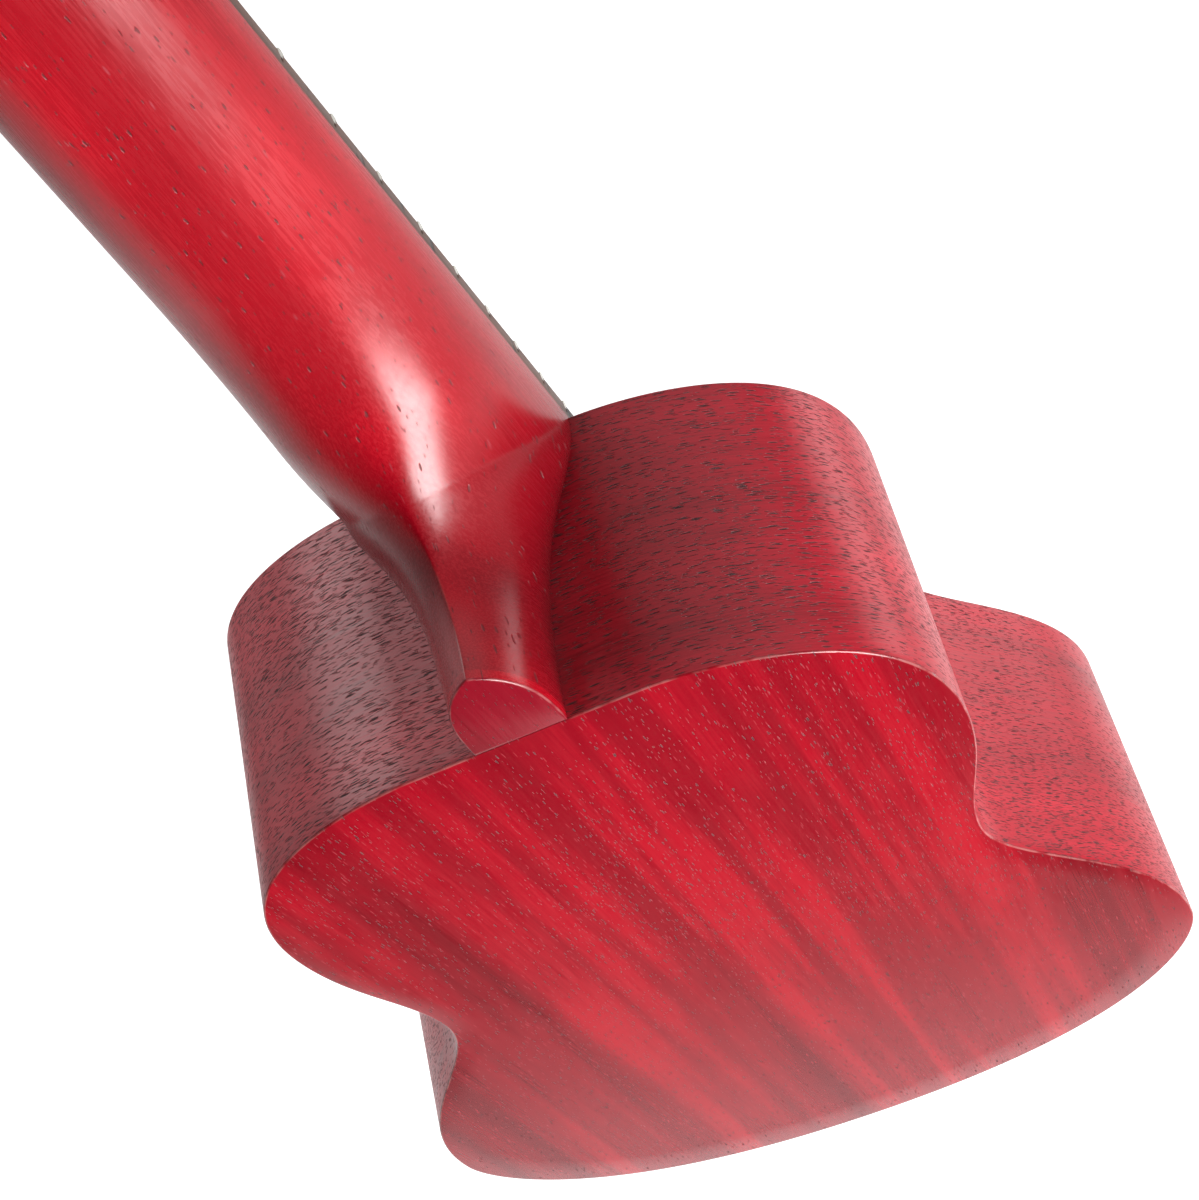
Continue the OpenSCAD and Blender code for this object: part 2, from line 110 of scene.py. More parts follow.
def split(tree, value):
    return put(tree, "ShaderNodeSeparateXYZ", Vector=value).outputs


def noise(tree, place, scale=1.0, detail=2.0, **more):
    return get(tree, "ShaderNodeTexNoise", Vector=place, Scale=scale, Detail=detail, **more)


def one_over(tree, value):
    return maths(tree, "DIVIDE", 1.0, value)


def own_place(tree):
    """A piece's own coordinates, in metres, which move with it."""
    return put(tree, "ShaderNodeTexCoord").outputs["Object"]


def grade(tree, value, low, high, to_low=0.0, to_high=1.0):
    """A value from low to high becomes one from to_low to to_high, with soft ends."""
    settings = {"interpolation_type": "SMOOTHSTEP"}
    return get(tree, "ShaderNodeMapRange", settings, Value=value, From_Min=low, From_Max=high,
               To_Min=to_low, To_Max=to_high)


def mixed(tree, share, a, b):
    """Two colours mixed by a share."""
    return put(tree, "ShaderNodeMix", {"data_type": "RGBA"}, _0=share, _6=a, _7=b).outputs[2]


def lobe(tree, direction, towards, edge, full):
    """How much of a soft box in one direction a ray sees: 0 at edge degrees off it, 1 at full."""
    settings = {"operation": "DOT_PRODUCT"}
    aim = Vector(towards).normalized()
    dot = put(tree, "ShaderNodeVectorMath", settings, _0=direction, _1=aim).outputs["Value"]
    return grade(tree, dot, cos(radians(edge)), cos(radians(full)))


ROOM_LIGHT = 0.02
BACKDROP = 1.4
# direction, degrees to its soft edge, degrees to where it is full, strength
SOFT_BOXES = [
    ((-0.78, -0.60, -0.28), 16, 4, 3.4),
    ((0.52, -0.53, 0.66), 20, 10, 5.0),
    ((0.78, -0.58, 0.22), 32, 10, 0.7),
    ((-0.50, -0.55, 0.67), 40, 10, 0.7),
]
world = bpy.data.worlds.new("studio")
world.use_nodes = True
scene.world = world
tree = world.node_tree
tree.nodes.clear()
ray = put(tree, "ShaderNodeTexCoord").outputs["Generated"]
parts = split(tree, ray)
in_front = grade(tree, parts[1], 0.46, 0.36)
below = grade(tree, parts[2], -0.3, -0.85, 0.20, 1.0)
backdrop = times(tree, times(tree, in_front, below), BACKDROP)
light = plus(tree, backdrop, ROOM_LIGHT)
for towards, edge, full, strength in SOFT_BOXES:
    seen = times(tree, lobe(tree, ray, towards, edge, full), strength)
    light = plus(tree, seen, light)
studio_light = put(tree, "ShaderNodeBackground", Strength=light)
white = put(tree, "ShaderNodeBackground", Strength=1.0)
white.inputs["Color"].default_value = (1, 1, 1, 1)
path = put(tree, "ShaderNodeLightPath")
both = put(tree, "ShaderNodeMixShader", Fac=path.outputs["Is Camera Ray"],
           _1=studio_light.outputs[0], _2=white.outputs[0])
put(tree, "ShaderNodeOutputWorld", Surface=both.outputs[0])


def new_material(name):
    """A material and its tree of nodes."""
    material = bpy.data.materials.new(name)
    material.use_nodes = True
    return material, material.node_tree


def soft_box(name, place, aim, width, height, power):
    data = bpy.data.lights.new(name, "AREA")
    data.shape = "RECTANGLE"
    data.size, data.size_y, data.energy = width, height, power
    lamp = shown(name, data)
    lamp.location = place
    lamp.visible_camera = False
    lamp.rotation_euler = (Vector(aim) - Vector(place)).to_track_quat("-Z", "Y").to_euler()


soft_box("key light", (-0.75, 0.96, 0.15), (0, 0, 0.27), 0.85, 0.62, 34.0)

FLOOR_Z = -0.30
FLOOR_HALF = 4.0
floor_mesh = bpy.data.meshes.new("floor")
floor_mesh.from_pydata([(x * FLOOR_HALF, y * FLOOR_HALF, FLOOR_Z)
                        for x, y in ((-1, -1), (1, -1), (1, 1), (-1, 1))], [], [(0, 1, 2, 3)])
floor = shown("floor", floor_mesh)
floor.visible_glossy = False
paper, tree = new_material("white paper")
sheet_shader = tree.nodes["Principled BSDF"]
speckle = noise(tree, own_place(tree), 3.0)
tint = mixed(tree, speckle, (0.93, 0.93, 0.93, 1), (0.95, 0.95, 0.95, 1))
tree.links.new(tint, sheet_shader.inputs["Base Color"])
sheet_shader.inputs["Roughness"].default_value = 0.9
sheet_shader.inputs["Emission Color"].default_value = (1, 1, 1, 1)
sheet_shader.inputs["Emission Strength"].default_value = 0.55
floor_mesh.materials.append(paper)

# ---------------------------------------------------------------- stained mahogany
# The body, the neck and the heel's cap are mahogany, stained red and sealed with a thin satin
# coat that leaves the pores open. The wood's effects are groups that every red piece shares.


def group(name, inputs, outputs):
    """A shader node group with named sockets, and its two end nodes."""
    tree = bpy.data.node_groups.new(name, "ShaderNodeTree")
    kinds = {"f": "NodeSocketFloat", "v": "NodeSocketVector", "c": "NodeSocketColor"}
    for label, kind, value in inputs:
        socket = tree.interface.new_socket(label, in_out="INPUT", socket_type=kinds[kind])
        if value is not None:
            socket.default_value = value
    for label, kind in outputs:
        tree.interface.new_socket(label, in_out="OUTPUT", socket_type=kinds[kind])
    return tree, tree.nodes.new("NodeGroupInput").outputs, tree.nodes.new("NodeGroupOutput")


def scaled(tree, place, x, y, z):
    """A vector whose parts are multiplied, each by a number or a socket."""
    factors = vector(tree, x, y, z)
    return get(tree, "ShaderNodeVectorMath", {"operation": "MULTIPLY"}, _0=place, _1=factors)


def shifted(tree, place, x, y, z):
    """A vector moved by three numbers or sockets."""
    step = vector(tree, x, y, z)
    return get(tree, "ShaderNodeVectorMath", {"operation": "ADD"}, _0=place, _1=step)


# Pores: short vessels cut open, long and thin along the grain. Grain has x along the grain.
pores, given, gives = group(
    "open pores",
    [("Grain", "v", None), ("Length", "f", 0.004), ("Width", "f", 0.0005),
     ("Share", "f", 0.4), ("Thickness", "f", 0.3), ("Seed", "f", 0.0)],
    [("Pores", "f")])
waver = noise(pores, scaled(pores, given["Grain"], 90, 250, 250), detail=1.0)
along = one_over(pores, given["Length"])
across = one_over(pores, given["Width"])
cells = scaled(pores, given["Grain"], along, across, across)
drift = times(pores, waver, 1.4)
row = maths(pores, "FLOOR", split(pores, cells)[1], 0.0)
stagger = get(pores, "ShaderNodeTexWhiteNoise", {"noise_dimensions": "1D"}, W=row)
stagger = plus(pores, times(pores, stagger, 5.0), given["Seed"])
cells = shifted(pores, cells, stagger, drift, 0)
vessels = put(pores, "ShaderNodeTexVoronoi", {"voronoi_dimensions": "2D"}, Vector=cells,
              Scale=1.0, Randomness=1.0)
open_part = grade(pores, vessels.outputs["Distance"], given["Thickness"],
                  times(pores, given["Thickness"], 0.5))
pick = get(pores, "ShaderNodeSeparateColor", Color=vessels.outputs["Color"])
chosen = maths(pores, "LESS_THAN", pick, given["Share"])
pores.links.new(times(pores, open_part, chosen), gives.inputs["Pores"])

# Figure: broad soft bands, fine fibres and the uneven take-up of the stain.
figure, given, gives = group(
    "wood figure",
    [("Grain", "v", None), ("Band Width", "f", 0.02), ("Fibre Width", "f", 0.0004),
     ("Cloud Size", "f", 0.05), ("Seed", "f", 0.0)],
    [("Bands", "f"), ("Fibres", "f"), ("Clouds", "f")])
turned = one_over(figure, given["Band Width"])
banded = shifted(figure, scaled(figure, given["Grain"], 3.0, turned, turned), *[given["Seed"]] * 3)
bands = noise(figure, banded, detail=2.5, Roughness=0.55)
finer = one_over(figure, given["Fibre Width"])
fibres = noise(figure, scaled(figure, given["Grain"], 60.0, finer, finer), detail=3.0,
               Roughness=0.6)
cloudy = one_over(figure, given["Cloud Size"])
clouds = noise(figure, scaled(figure, given["Grain"], times(figure, cloudy, 0.5), cloudy, cloudy))
for label, source in (("Bands", bands), ("Fibres", fibres), ("Clouds", clouds)):
    figure.links.new(grade(figure, source, 0.3, 0.7), gives.inputs[label])

# Painted highlight: a lighter colour is painted in broken patches where Edge marks a rounded edge,
# in place of the shine of light along it. Edge is 1 on an edge.
painted_highlight, given, gives = group(
    "edge wear", [("Vector", "v", None), ("Edge", "f", 0.0), ("Amount", "f", 0.5)],
    [("Highlight", "f")])
broken = grade(painted_highlight, noise(painted_highlight, given["Vector"], 220.0, 3.0), 0.35, 0.65)
highlit_edge = times(painted_highlight, broken, given["Edge"])
painted_highlight.links.new(times(painted_highlight, highlit_edge, given["Amount"]), gives.inputs["Highlight"])


def use(tree, shared, **inputs):
    """Places a shared group in a material."""
    return put(tree, "ShaderNodeGroup", {"node_tree": shared}, **inputs).outputs


def finish(name, colour, roughness, height, depth=0.0002, **constants):
    """Joins a material's varying colour, roughness and height to its own shader."""
    tree = name.node_tree
    shader = tree.nodes["Principled BSDF"]
    tree.links.new(colour, shader.inputs["Base Color"])
    tree.links.new(roughness, shader.inputs["Roughness"])
    bump = get(tree, "ShaderNodeBump", Strength=1.0, Distance=depth, Height=height)
    tree.links.new(bump, shader.inputs["Normal"])
    for socket, value in constants.items():
        shader.inputs[socket.replace("_", " ")].default_value = value


def along_z(tree):
    """Grain coordinates, in metres, for a board whose grain runs up the instrument."""
    x, y, z = split(tree, own_place(tree))
    return vector(tree, z, x, y)


def along_face(tree):
    """Grain coordinates for a thin plate: the figure runs straight through it."""
    return scaled(tree, along_z(tree), 1, 1, 0)


def along_strip(tree):
    """Grain coordinates, in metres, for a rib's strip: x along it, y across it."""
    return get(tree, "ShaderNodeUVMap", {"uv_map": "strip"})


def marked(tree, name):
    """A number written on the piece's own vertices."""
    return put(tree, "ShaderNodeAttribute", {"attribute_name": name}).outputs["Fac"]


# A dark red painted on the heel's flanks as shade.
HEEL_SHADE_RED = (0.075, 0.0002, 0.003, 1)
# The lighter pink painted on rounded edges as a highlight.
HIGHLIGHT_PINK = (0.42, 0.17, 0.16, 1)
# A light pink painted on some pores as glints of light on their edges.
GLINT_PINK = (0.27, 0.025, 0.034, 1)


def red_mahogany(name, grain, surface, deep, main, bright, *, band, bands, fibres, clouds,
                 pits, pit_length, pit_width, pit_size, gloss, seed,
                 pit=(0.03, 0.001, 0.003, 1), glint_amount=0.0, depth=0.00025):
    """Red-stained mahogany with open pores: one board or strip cut with its own figure.
    The figure follows the grain through the wood, and the pores lie on its surface."""
    material, tree = new_material(name)
    lines, lie = grain(tree), surface(tree)
    look = use(tree, figure, Grain=lines, Band_Width=band, Seed=seed)
    crowd = times(tree, grade(tree, look["Clouds"], 0.0, 1.0, 0.5, 1.3), pits)

    def some(long, wide, thick, share, seed):
        """Pores of one kind, sized against this wood's own."""
        return use(tree, pores, Grain=lie, Length=pit_length * long, Width=pit_width * wide,
                   Thickness=pit_size * thick, Share=share, Seed=seed)["Pores"]

    small_pores = times(tree, some(0.55, 0.6, 1.0, crowd, seed + 7), 0.8)
    open_pores = maths(tree, "MAXIMUM", some(1.0, 1.0, 1.0, crowd, seed), small_pores)
    # Painted glints: a share of the pores is painted light pink in place of the glints of light on
    # their edges.
    glint_share = times(tree, crowd, glint_amount / pits)
    painted_glints = some(1.3, 0.9, 1.15, glint_share, seed + 31)
    tone = times(tree, look["Bands"], bands)
    for effect, amount in (("Fibres", fibres), ("Clouds", clouds)):
        tone = plus(tree, tone, times(tree, look[effect], amount))
    total = bands + fibres + clouds
    lower = mixed(tree, grade(tree, tone, 0.1 * total, 0.5 * total), deep, main)
    stain = mixed(tree, grade(tree, tone, 0.5 * total, 0.95 * total), lower, bright)
    # Painted shade: the heel's flanks are darkened by a number written on the neck's vertices.
    stain = mixed(tree, marked(tree, "soaked"), stain, HEEL_SHADE_RED)
    stain = mixed(tree, open_pores, stain, pit)
    stain = mixed(tree, painted_glints, stain, GLINT_PINK)
    # A painted highlight: lighter pink on the rounded edges that edge marks, broken in patches.
    highlight_share = use(tree, painted_highlight, Vector=own_place(tree), Edge=marked(tree, "edge"), Amount=0.45)["Highlight"]
    stain = mixed(tree, highlight_share, stain, HIGHLIGHT_PINK)
    rough = plus(tree, times(tree, look["Fibres"], 0.08), gloss - 0.04)
    rough = plus(tree, rough, times(tree, open_pores, 0.3))
    height = minus(tree, times(tree, look["Fibres"], 0.04), open_pores)
    finish(material, stain, rough, height, depth)
    return material


back_wood = red_mahogany(
    "red back", along_face, along_face, (0.13, 0.0002, 0.004, 1), (0.19, 0.0004, 0.006, 1),
    (0.31, 0.0008, 0.009, 1), band=0.010, bands=0.8, fibres=0.15, clouds=0.35, pits=0.20,
    pit_length=0.0050, pit_width=0.0007, pit_size=0.17, glint_amount=0.30, gloss=0.20, seed=3.0,
    depth=0.00010)
rib_wood = red_mahogany(
    "red rib", along_strip, along_strip, (0.24, 0.002, 0.010, 1), (0.40, 0.003, 0.016, 1),
    (0.54, 0.008, 0.026, 1), band=0.012, bands=0.35, fibres=0.4, clouds=0.3, pits=0.85,
    pit_length=0.0062, pit_width=0.00060, pit_size=0.21, pit=(0.035, 0.003, 0.006, 1),
    gloss=0.32, seed=11.0, depth=0.00016)

# ---------------------------------------------------------------- back plate
# One flat board of mahogany, 2 mm thick, sawn to the body's outline and glued on the ribs.
# It slopes towards the neck, and its edge is rubbed round where it meets the ribs, with a
# highlight painted on it.
MM = 0.001
FACE_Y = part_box("soundboard")[0].y  # the soundboard's outer face
BODY_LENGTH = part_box("soundboard")[1].z
TAIL_DEPTH = 0.073
HEEL_DEPTH = 0.061
PLATE = 0.002
SLOPE = (TAIL_DEPTH - HEEL_DEPTH) / BODY_LENGTH
EDGE_ROUND = 0.0004
CAP_SEAT = 0.0085  # half the width where the back's edge stays square under the heel's cap

# Half of the body's outline from the tail to the neck, as curves with two handles, in mm.
HALF_OUTLINE = [
    ((0, 0), (74, 0), (95, 41), (95, 58)),
    ((95, 58), (95, 97), (62, 116), (62, 137)),
    ((62, 137), (62, 154), (70.5, 164), (70.5, 186)),
    ((70.5, 186), (70.5, 228), (29, 232), (22, 232)),
    ((22, 232), (15, 232), (7, 232), (0, 232)),
]


def bezier(curve, t):
    """A point of a curve with two handles, at t from 0 to 1."""
    shares = ((1 - t) ** 3, 3 * t * (1 - t) ** 2, 3 * t * t * (1 - t), t ** 3)
    return tuple(sum(s * p[k] for s, p in zip(shares, curve)) for k in range(len(curve[0])))


def even_steps(curves, count):
    """Points spread evenly over joined curves, each with its distance from the start."""
    fine = [bezier(c, i / 300) for c in curves for i in range(300)] + [curves[-1][3]]
    run = [0.0]
    for a, b in zip(fine, fine[1:]):
        run.append(run[-1] + hypot(b[0] - a[0], b[1] - a[1]))
    points, j = [], 0
    for i in range(count + 1):
        want = run[-1] * i / count
        while j < len(run) - 2 and run[j + 1] < want:
            j += 1
        share = (want - run[j]) / (run[j + 1] - run[j])
        a, b = fine[j], fine[j + 1]
        points.append((a[0] + (b[0] - a[0]) * share, a[1] + (b[1] - a[1]) * share, want))
    return points


SIDE_STEPS = 260
side_points = [(x * MM, z * MM, run * MM) for x, z, run in even_steps(HALF_OUTLINE, SIDE_STEPS)]


def moved_in(points, i, inset):
    """Point i of half the outline, moved into the body by inset."""
    a, b = points[max(i - 1, 0)], points[min(i + 1, len(points) - 1)]
    dx, dz = b[0] - a[0], b[1] - a[1]
    size = hypot(dx, dz)
    if i in (0, len(points) - 1):
        dx, dz, size = (1 if i == 0 else -1), 0, 1
    x, z, _ = points[i]
    return x - inset * dz / size, z + inset * dx / size


def back_y(z):
    """The back's outer face at a height, in the object's own place."""
    return FACE_Y + TAIL_DEPTH - SLOPE * z


def whole_ring(inset):
    """The whole outline, from the tail up the +X side and down the other: (x, z, run)."""
    half = [(*moved_in(side_points, i, inset), side_points[i][2])
            for i in range(len(side_points))]
    half = [(x, z if z < BODY_LENGTH - inset - 1e-6 or x > CAP_SEAT else BODY_LENGTH, run)
            for x, z, run in half]
    half[0] = (0.0, half[0][1], half[0][2])
    half[-1] = (0.0, half[-1][1], half[-1][2])
    return half + [(-x, z, -run) for x, z, run in half[-2:0:-1]]


def opened(mesh):
    """A mesh opened for work by hand."""
    work = bmesh.new()
    work.from_mesh(mesh)
    return work


def closed(work, mesh):
    work.to_mesh(mesh)
    work.free()
    return mesh


def new_object(name, vertices, faces, materials, smooth=True):
    mesh = bpy.data.meshes.new(name)
    mesh.from_pydata([tuple(v) for v in vertices], [], faces)
    for material in materials:
        mesh.materials.append(material)
    if smooth:
        mesh.shade_smooth()
    return shown(name, mesh)


def skin(width, rows, first_end=True, last_end=True):
    """Faces round rows of vertices, width in each row, and over the two ends."""
    faces = []
    for j in range(0, (rows - 1) * width, width):
        for i in range(width):
            a, b = j + i, j + (i + 1) % width
            faces.append((a, b, b + width, a + width))
    if first_end:
        faces.append(tuple(range(width)))
    if last_end:
        faces.append(tuple((rows - 1) * width + i for i in reversed(range(width))))
    return faces


def lay_strip(piece, marks):
    """Writes the map that grain and pores follow, from one mark for each vertex."""
    layer = piece.data.uv_layers.new(name="strip")
    for corner in piece.data.loops:
        layer.data[corner.index].uv = marks[corner.vertex_index]


def mark(piece, name, values):
    """Writes one number for each vertex, such as how near it is to an edge with a painted
    highlight.
    """
    piece.data.attributes.new(name, "FLOAT", "POINT").data.foreach_set("value", values)


def stands_for(piece, node, body="instrument"):
    """Puts a finished piece in a CAD node's place and its body."""
    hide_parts(node)
    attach(piece, body)


def plate(name, face_y, sign, centre, rim_material, face_material, hole=None):
    """A thin plate of the body's outline. face_y gives its outer face, which looks along
    sign * Y; the outer edge is rounded, and its rim carries the ribs' grain."""
    profile = [(EDGE_ROUND * (1 - sin(a)), EDGE_ROUND * (1 - cos(a)))
               for a in [pi / 2 * k / 5 for k in range(6)]] + [(0.0, PLATE)]
    vertices, faces, slots, edge, strip = [], [], [], [], []
    count = len(whole_ring(0))

    def ring_of(points, depth, mark):
        start = len(vertices)
        for x, z, run in points:
            y = face_y(z) - sign * depth
            vertices.append((x, y, z))
            seated = abs(x) < CAP_SEAT + 0.001 and z > BODY_LENGTH - 0.001
            edge.append(0.0 if seated else mark)
            strip.append((run, y))
        return start

    def inner_points(depth_inset, share):
        """Points between the outline and the middle, or the edge of the hole."""
        points = []
        for x, z, run in whole_ring(depth_inset):
            dx, dz = x - centre[0], z - centre[1]
            reach = hypot(dx, dz)
            stop = hole / reach if hole else 0.0
            keep = stop + (1 - stop) * share
            points.append((centre[0] + dx * keep, centre[1] + dz * keep, run))
        return points

    shares = (0.0, 0.25, 0.6, 0.9) if hole else (0.12, 0.35, 0.65, 0.9)
    rings = [ring_of(inner_points(EDGE_ROUND, s), 0.0, 0.0) for s in shares]
    for k, (inset, depth) in enumerate(profile):
        # The rounded edge's middle rings are marked in edge, where a highlight is painted.
        rings.append(ring_of(whole_ring(inset), depth, 1.0 if 1 <= k <= 4 else 0.0))
    rings += [ring_of(inner_points(0.0, s), PLATE, 0.0) for s in reversed(shares)]
    if hole:
        rings.append(rings[0])
    for level, (a, b) in enumerate(zip(rings, rings[1:])):
        rim = level == len(shares) + len(profile) - 2
        for i in range(count):
            j = (i + 1) % count
            quad = (a + i, a + j, b + j, b + i)
            faces.append(quad if sign < 0 else quad[::-1])
            slots.append(1 if rim else 0)
    if not hole:
        for ring, flip in ((rings[0], sign > 0), (rings[-1], sign < 0)):
            z = centre[1]
            depth = 0.0 if ring == rings[0] else PLATE
            middle = len(vertices)
            vertices.append((0.0, face_y(z) - sign * depth, z))
            edge.append(0.0)
            strip.append((0.0, 0.0))
            for i in range(count):
                j = (i + 1) % count
                tri = (ring + j, ring + i, middle)
                faces.append(tri[::-1] if flip else tri)
                slots.append(0)
    piece = new_object(name, vertices, faces, [face_material, rim_material])
    piece.data.polygons.foreach_set("material_index", slots)
    mark(piece, "edge", edge)
    lay_strip(piece, strip)
    tidy_normals(piece)
    return piece


def tidy_normals(piece, sharp=35):
    """Turns every face outwards and keeps edges crisper than sharp degrees."""
    work = opened(piece.data)
    bmesh.ops.recalc_face_normals(work, faces=work.faces)
    closed(work, piece.data)
    piece.data.shade_smooth()
    piece.data.set_sharp_from_angle(angle=radians(sharp))


back = plate("back", back_y, 1, (0.0, 0.5 * BODY_LENGTH), rib_wood, back_wood)
stands_for(back, "back_plate")

# ---------------------------------------------------------------- ribs
# Two strips of mahogany, 2 mm thick, bent round a hot pipe to the outline. They meet at the
# tail and under the heel, and stand between the soundboard and the sloping back.
RIB_GAP = 0.0002  # from the middle to each strip's end


def rib(name, side):
    """One bent strip: its outer and inner faces, joined along both edges and at both ends."""
    levels = [0, 1 / 3, 2 / 3, 1]
    vertices, strip = [], []
    for i in range(len(side_points)):
        for inset, climb in ((0.0, levels), (PLATE, levels[::-1])):
            x, z = moved_in(side_points, i, inset)
            if i in (0, len(side_points) - 1):
                x = RIB_GAP
            low, high = FACE_Y + PLATE, back_y(z) - PLATE
            for share in climb:
                y = low + (high - low) * share
                vertices.append((side * x, y, z))
                strip.append((side * side_points[i][2], y))
    faces = skin(2 * len(levels), len(side_points))
    piece = new_object(name, vertices, faces, [rib_wood])
    lay_strip(piece, strip)
    tidy_normals(piece)
    return piece


for label, side in (("left", -1), ("right", 1)):
    bent_side = rib("side_" + label, side)
    stands_for(bent_side, "rib_" + label)

# ---------------------------------------------------------------- soundboard
# The front is a flat board of the same mahogany with one round sound hole. It carries the
# bridge, and the fretboard's end lies on it.
HOLE_CENTRE = (0.0, 0.157)
HOLE_RADIUS = 0.025
front_wood = red_mahogany(
    "red soundboard", along_face, along_face, (0.26, 0.001, 0.009, 1), (0.38, 0.001, 0.013, 1),
    (0.50, 0.004, 0.020, 1), band=0.018, bands=0.6, fibres=0.35, clouds=0.25, pits=0.34,
    pit_length=0.0050, pit_width=0.0008, pit_size=0.17, glint_amount=0.15, gloss=0.32, seed=23.0)
front = plate("front", lambda z: FACE_Y, -1, HOLE_CENTRE, rib_wood, front_wood, HOLE_RADIUS)
stands_for(front, "soundboard")

# ---------------------------------------------------------------- blocks, braces, patch, dowels
# Inside, left bare: a block of mahogany under the heel and one at the tail, spruce braces
# across both plates, a patch under the bridge, and two beech dowels that hold the neck.


def bare_wood(name, grain, pale, dark, ring, seed):
    """Planed, unsealed wood with growth lines, fibres and short dark pores."""
    material, tree = new_material(name)
    lines = grain(tree)
    look = use(tree, figure, Grain=lines, Band_Width=ring, Fibre_Width=0.00025,
               Cloud_Size=0.03, Seed=seed)
    small_pores = use(tree, pores, Grain=lines, Length=0.003, Width=0.0005, Share=0.25,
                      Thickness=0.25, Seed=seed)["Pores"]
    tone = plus(tree, times(tree, look["Bands"], 0.5), times(tree, look["Fibres"], 0.35))
    colour = mixed(tree, tone, pale, dark)
    colour = mixed(tree, times(tree, small_pores, 0.5), colour, dark)
    rough = plus(tree, times(tree, look["Fibres"], 0.15), 0.62)
    height = minus(tree, times(tree, look["Fibres"], 0.4), small_pores)
    finish(material, colour, rough, height, 0.00012)
    return material


def along_x(tree):
    """Grain coordinates for a brace or a bridge, whose grain runs across the instrument."""
    return own_place(tree)


block_wood = bare_wood("bare mahogany", along_z, (0.42, 0.24, 0.13, 1), (0.26, 0.13, 0.07, 1),
                       ring=0.004, seed=2.0)
spruce = bare_wood("bare spruce", along_x, (0.70, 0.52, 0.31, 1), (0.50, 0.33, 0.17, 1),
                   ring=0.0014, seed=5.0)
beech = bare_wood("beech dowel", along_z, (0.60, 0.43, 0.28, 1), (0.45, 0.30, 0.18, 1),
                  ring=0.002, seed=8.0)


def finish_nodes(material, *names):
    """Gives CAD nodes that are already the right shape their wood or metal."""
    for name in names:
        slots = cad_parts[name].data.materials
        slots.clear()
        slots.append(material)


finish_nodes(block_wood, "neck_block", "tail_block")
finish_nodes(spruce, "back_braces", "soundboard_braces", "bridge_patch")
finish_nodes(beech, "neck_dowels")

# ---------------------------------------------------------------- kerfed linings
# Four strips of lime wood with saw cuts nearly through them, so that they bend. They are
# glued inside the ribs' edges and widen the seats of the soundboard and of the back.
LINING_WIDTH = 0.005
LINING_HEIGHT = 0.006
KERF_PITCH = 0.0045
BLOCK_HALF = 0.0277  # the linings stop short of the blocks, which are this wide
BLOCKS_LOW, BLOCKS_HIGH = 0.04, 0.19
GLUE_GAP = 0.0001
lime = bare_wood("lime lining", along_strip, (0.66, 0.50, 0.32, 1), (0.50, 0.35, 0.20, 1),
                 ring=0.003, seed=14.0)


def geometry_tree(name, **sizes):
    """A Geometry Nodes tree with named inputs, what they give, and its end node."""
    tree = bpy.data.node_groups.new(name, "GeometryNodeTree")
    tree.interface.new_socket("Geometry", in_out="INPUT", socket_type="NodeSocketGeometry")
    for label, value in sizes.items():
        kind = "NodeSocketInt" if isinstance(value, int) else "NodeSocketFloat"
        label = label.replace("_", " ")
        tree.interface.new_socket(label, in_out="INPUT", socket_type=kind).default_value = value
    tree.interface.new_socket("Geometry", in_out="OUTPUT", socket_type="NodeSocketGeometry")
    return tree, tree.nodes.new("NodeGroupInput").outputs, tree.nodes.new("NodeGroupOutput")


def end_tree(tree, gives, geometry, material):
    whole = get(tree, "GeometryNodeRealizeInstances", Geometry=geometry)
    covered = put(tree, "GeometryNodeSetMaterial", Geometry=whole, Material=material)
    tree.links.new(covered.outputs[0], gives.inputs[0])


def moved(tree, shape, **how):
    return get(tree, "GeometryNodeTransform", Geometry=shape, **how)


def together(tree, *shapes):
    join = put(tree, "GeometryNodeJoinGeometry")
    for shape in shapes:
        tree.links.new(shape, join.inputs[0])
    return join.outputs[0]


def grow(tree, source, name, sharp=35, **values):
    """Runs a tree on a source mesh, and returns the result as a plain piece."""
    carrier = shown(name + " maker", source)
    modifier = carrier.modifiers.new("make", "NODES")
    modifier.node_group = tree
    for item in tree.interface.items_tree:
        if item.in_out == "INPUT" and item.name.replace(" ", "_") in values:
            modifier[item.identifier] = values[item.name.replace(" ", "_")]
    graph = bpy.context.evaluated_depsgraph_get()
    mesh = bpy.data.meshes.new_from_object(carrier.evaluated_get(graph))
    mesh.name = name
    bpy.data.objects.remove(carrier)
    piece = shown(name, mesh)
    tidy_normals(piece, sharp)
    return piece


lining_tree, given, gives = geometry_tree(
    "kerfed lining", Width=LINING_WIDTH, Height=LINING_HEIGHT, Pitch=KERF_PITCH, Kerf=0.0009)
line = get(lining_tree, "GeometryNodeMeshToCurve", Mesh=given["Geometry"])
stations = get(lining_tree, "GeometryNodeResampleCurve", {"mode": "LENGTH"}, Curve=line,
               Length=given["Pitch"])
tangent = get(lining_tree, "GeometryNodeInputTangent")
turn = get(lining_tree, "FunctionNodeAlignRotationToVector", {"axis": "X", "pivot_axis": "Y"},
           Vector=tangent)
block_length = minus(lining_tree, given["Pitch"], given["Kerf"])
tooth_size = vector(lining_tree, block_length, given["Height"], given["Width"])
tooth = get(lining_tree, "GeometryNodeMeshCube", Size=tooth_size)
teeth = get(lining_tree, "GeometryNodeInstanceOnPoints", Points=stations, Instance=tooth,
            Rotation=turn)
end_tree(lining_tree, gives, teeth, lime)


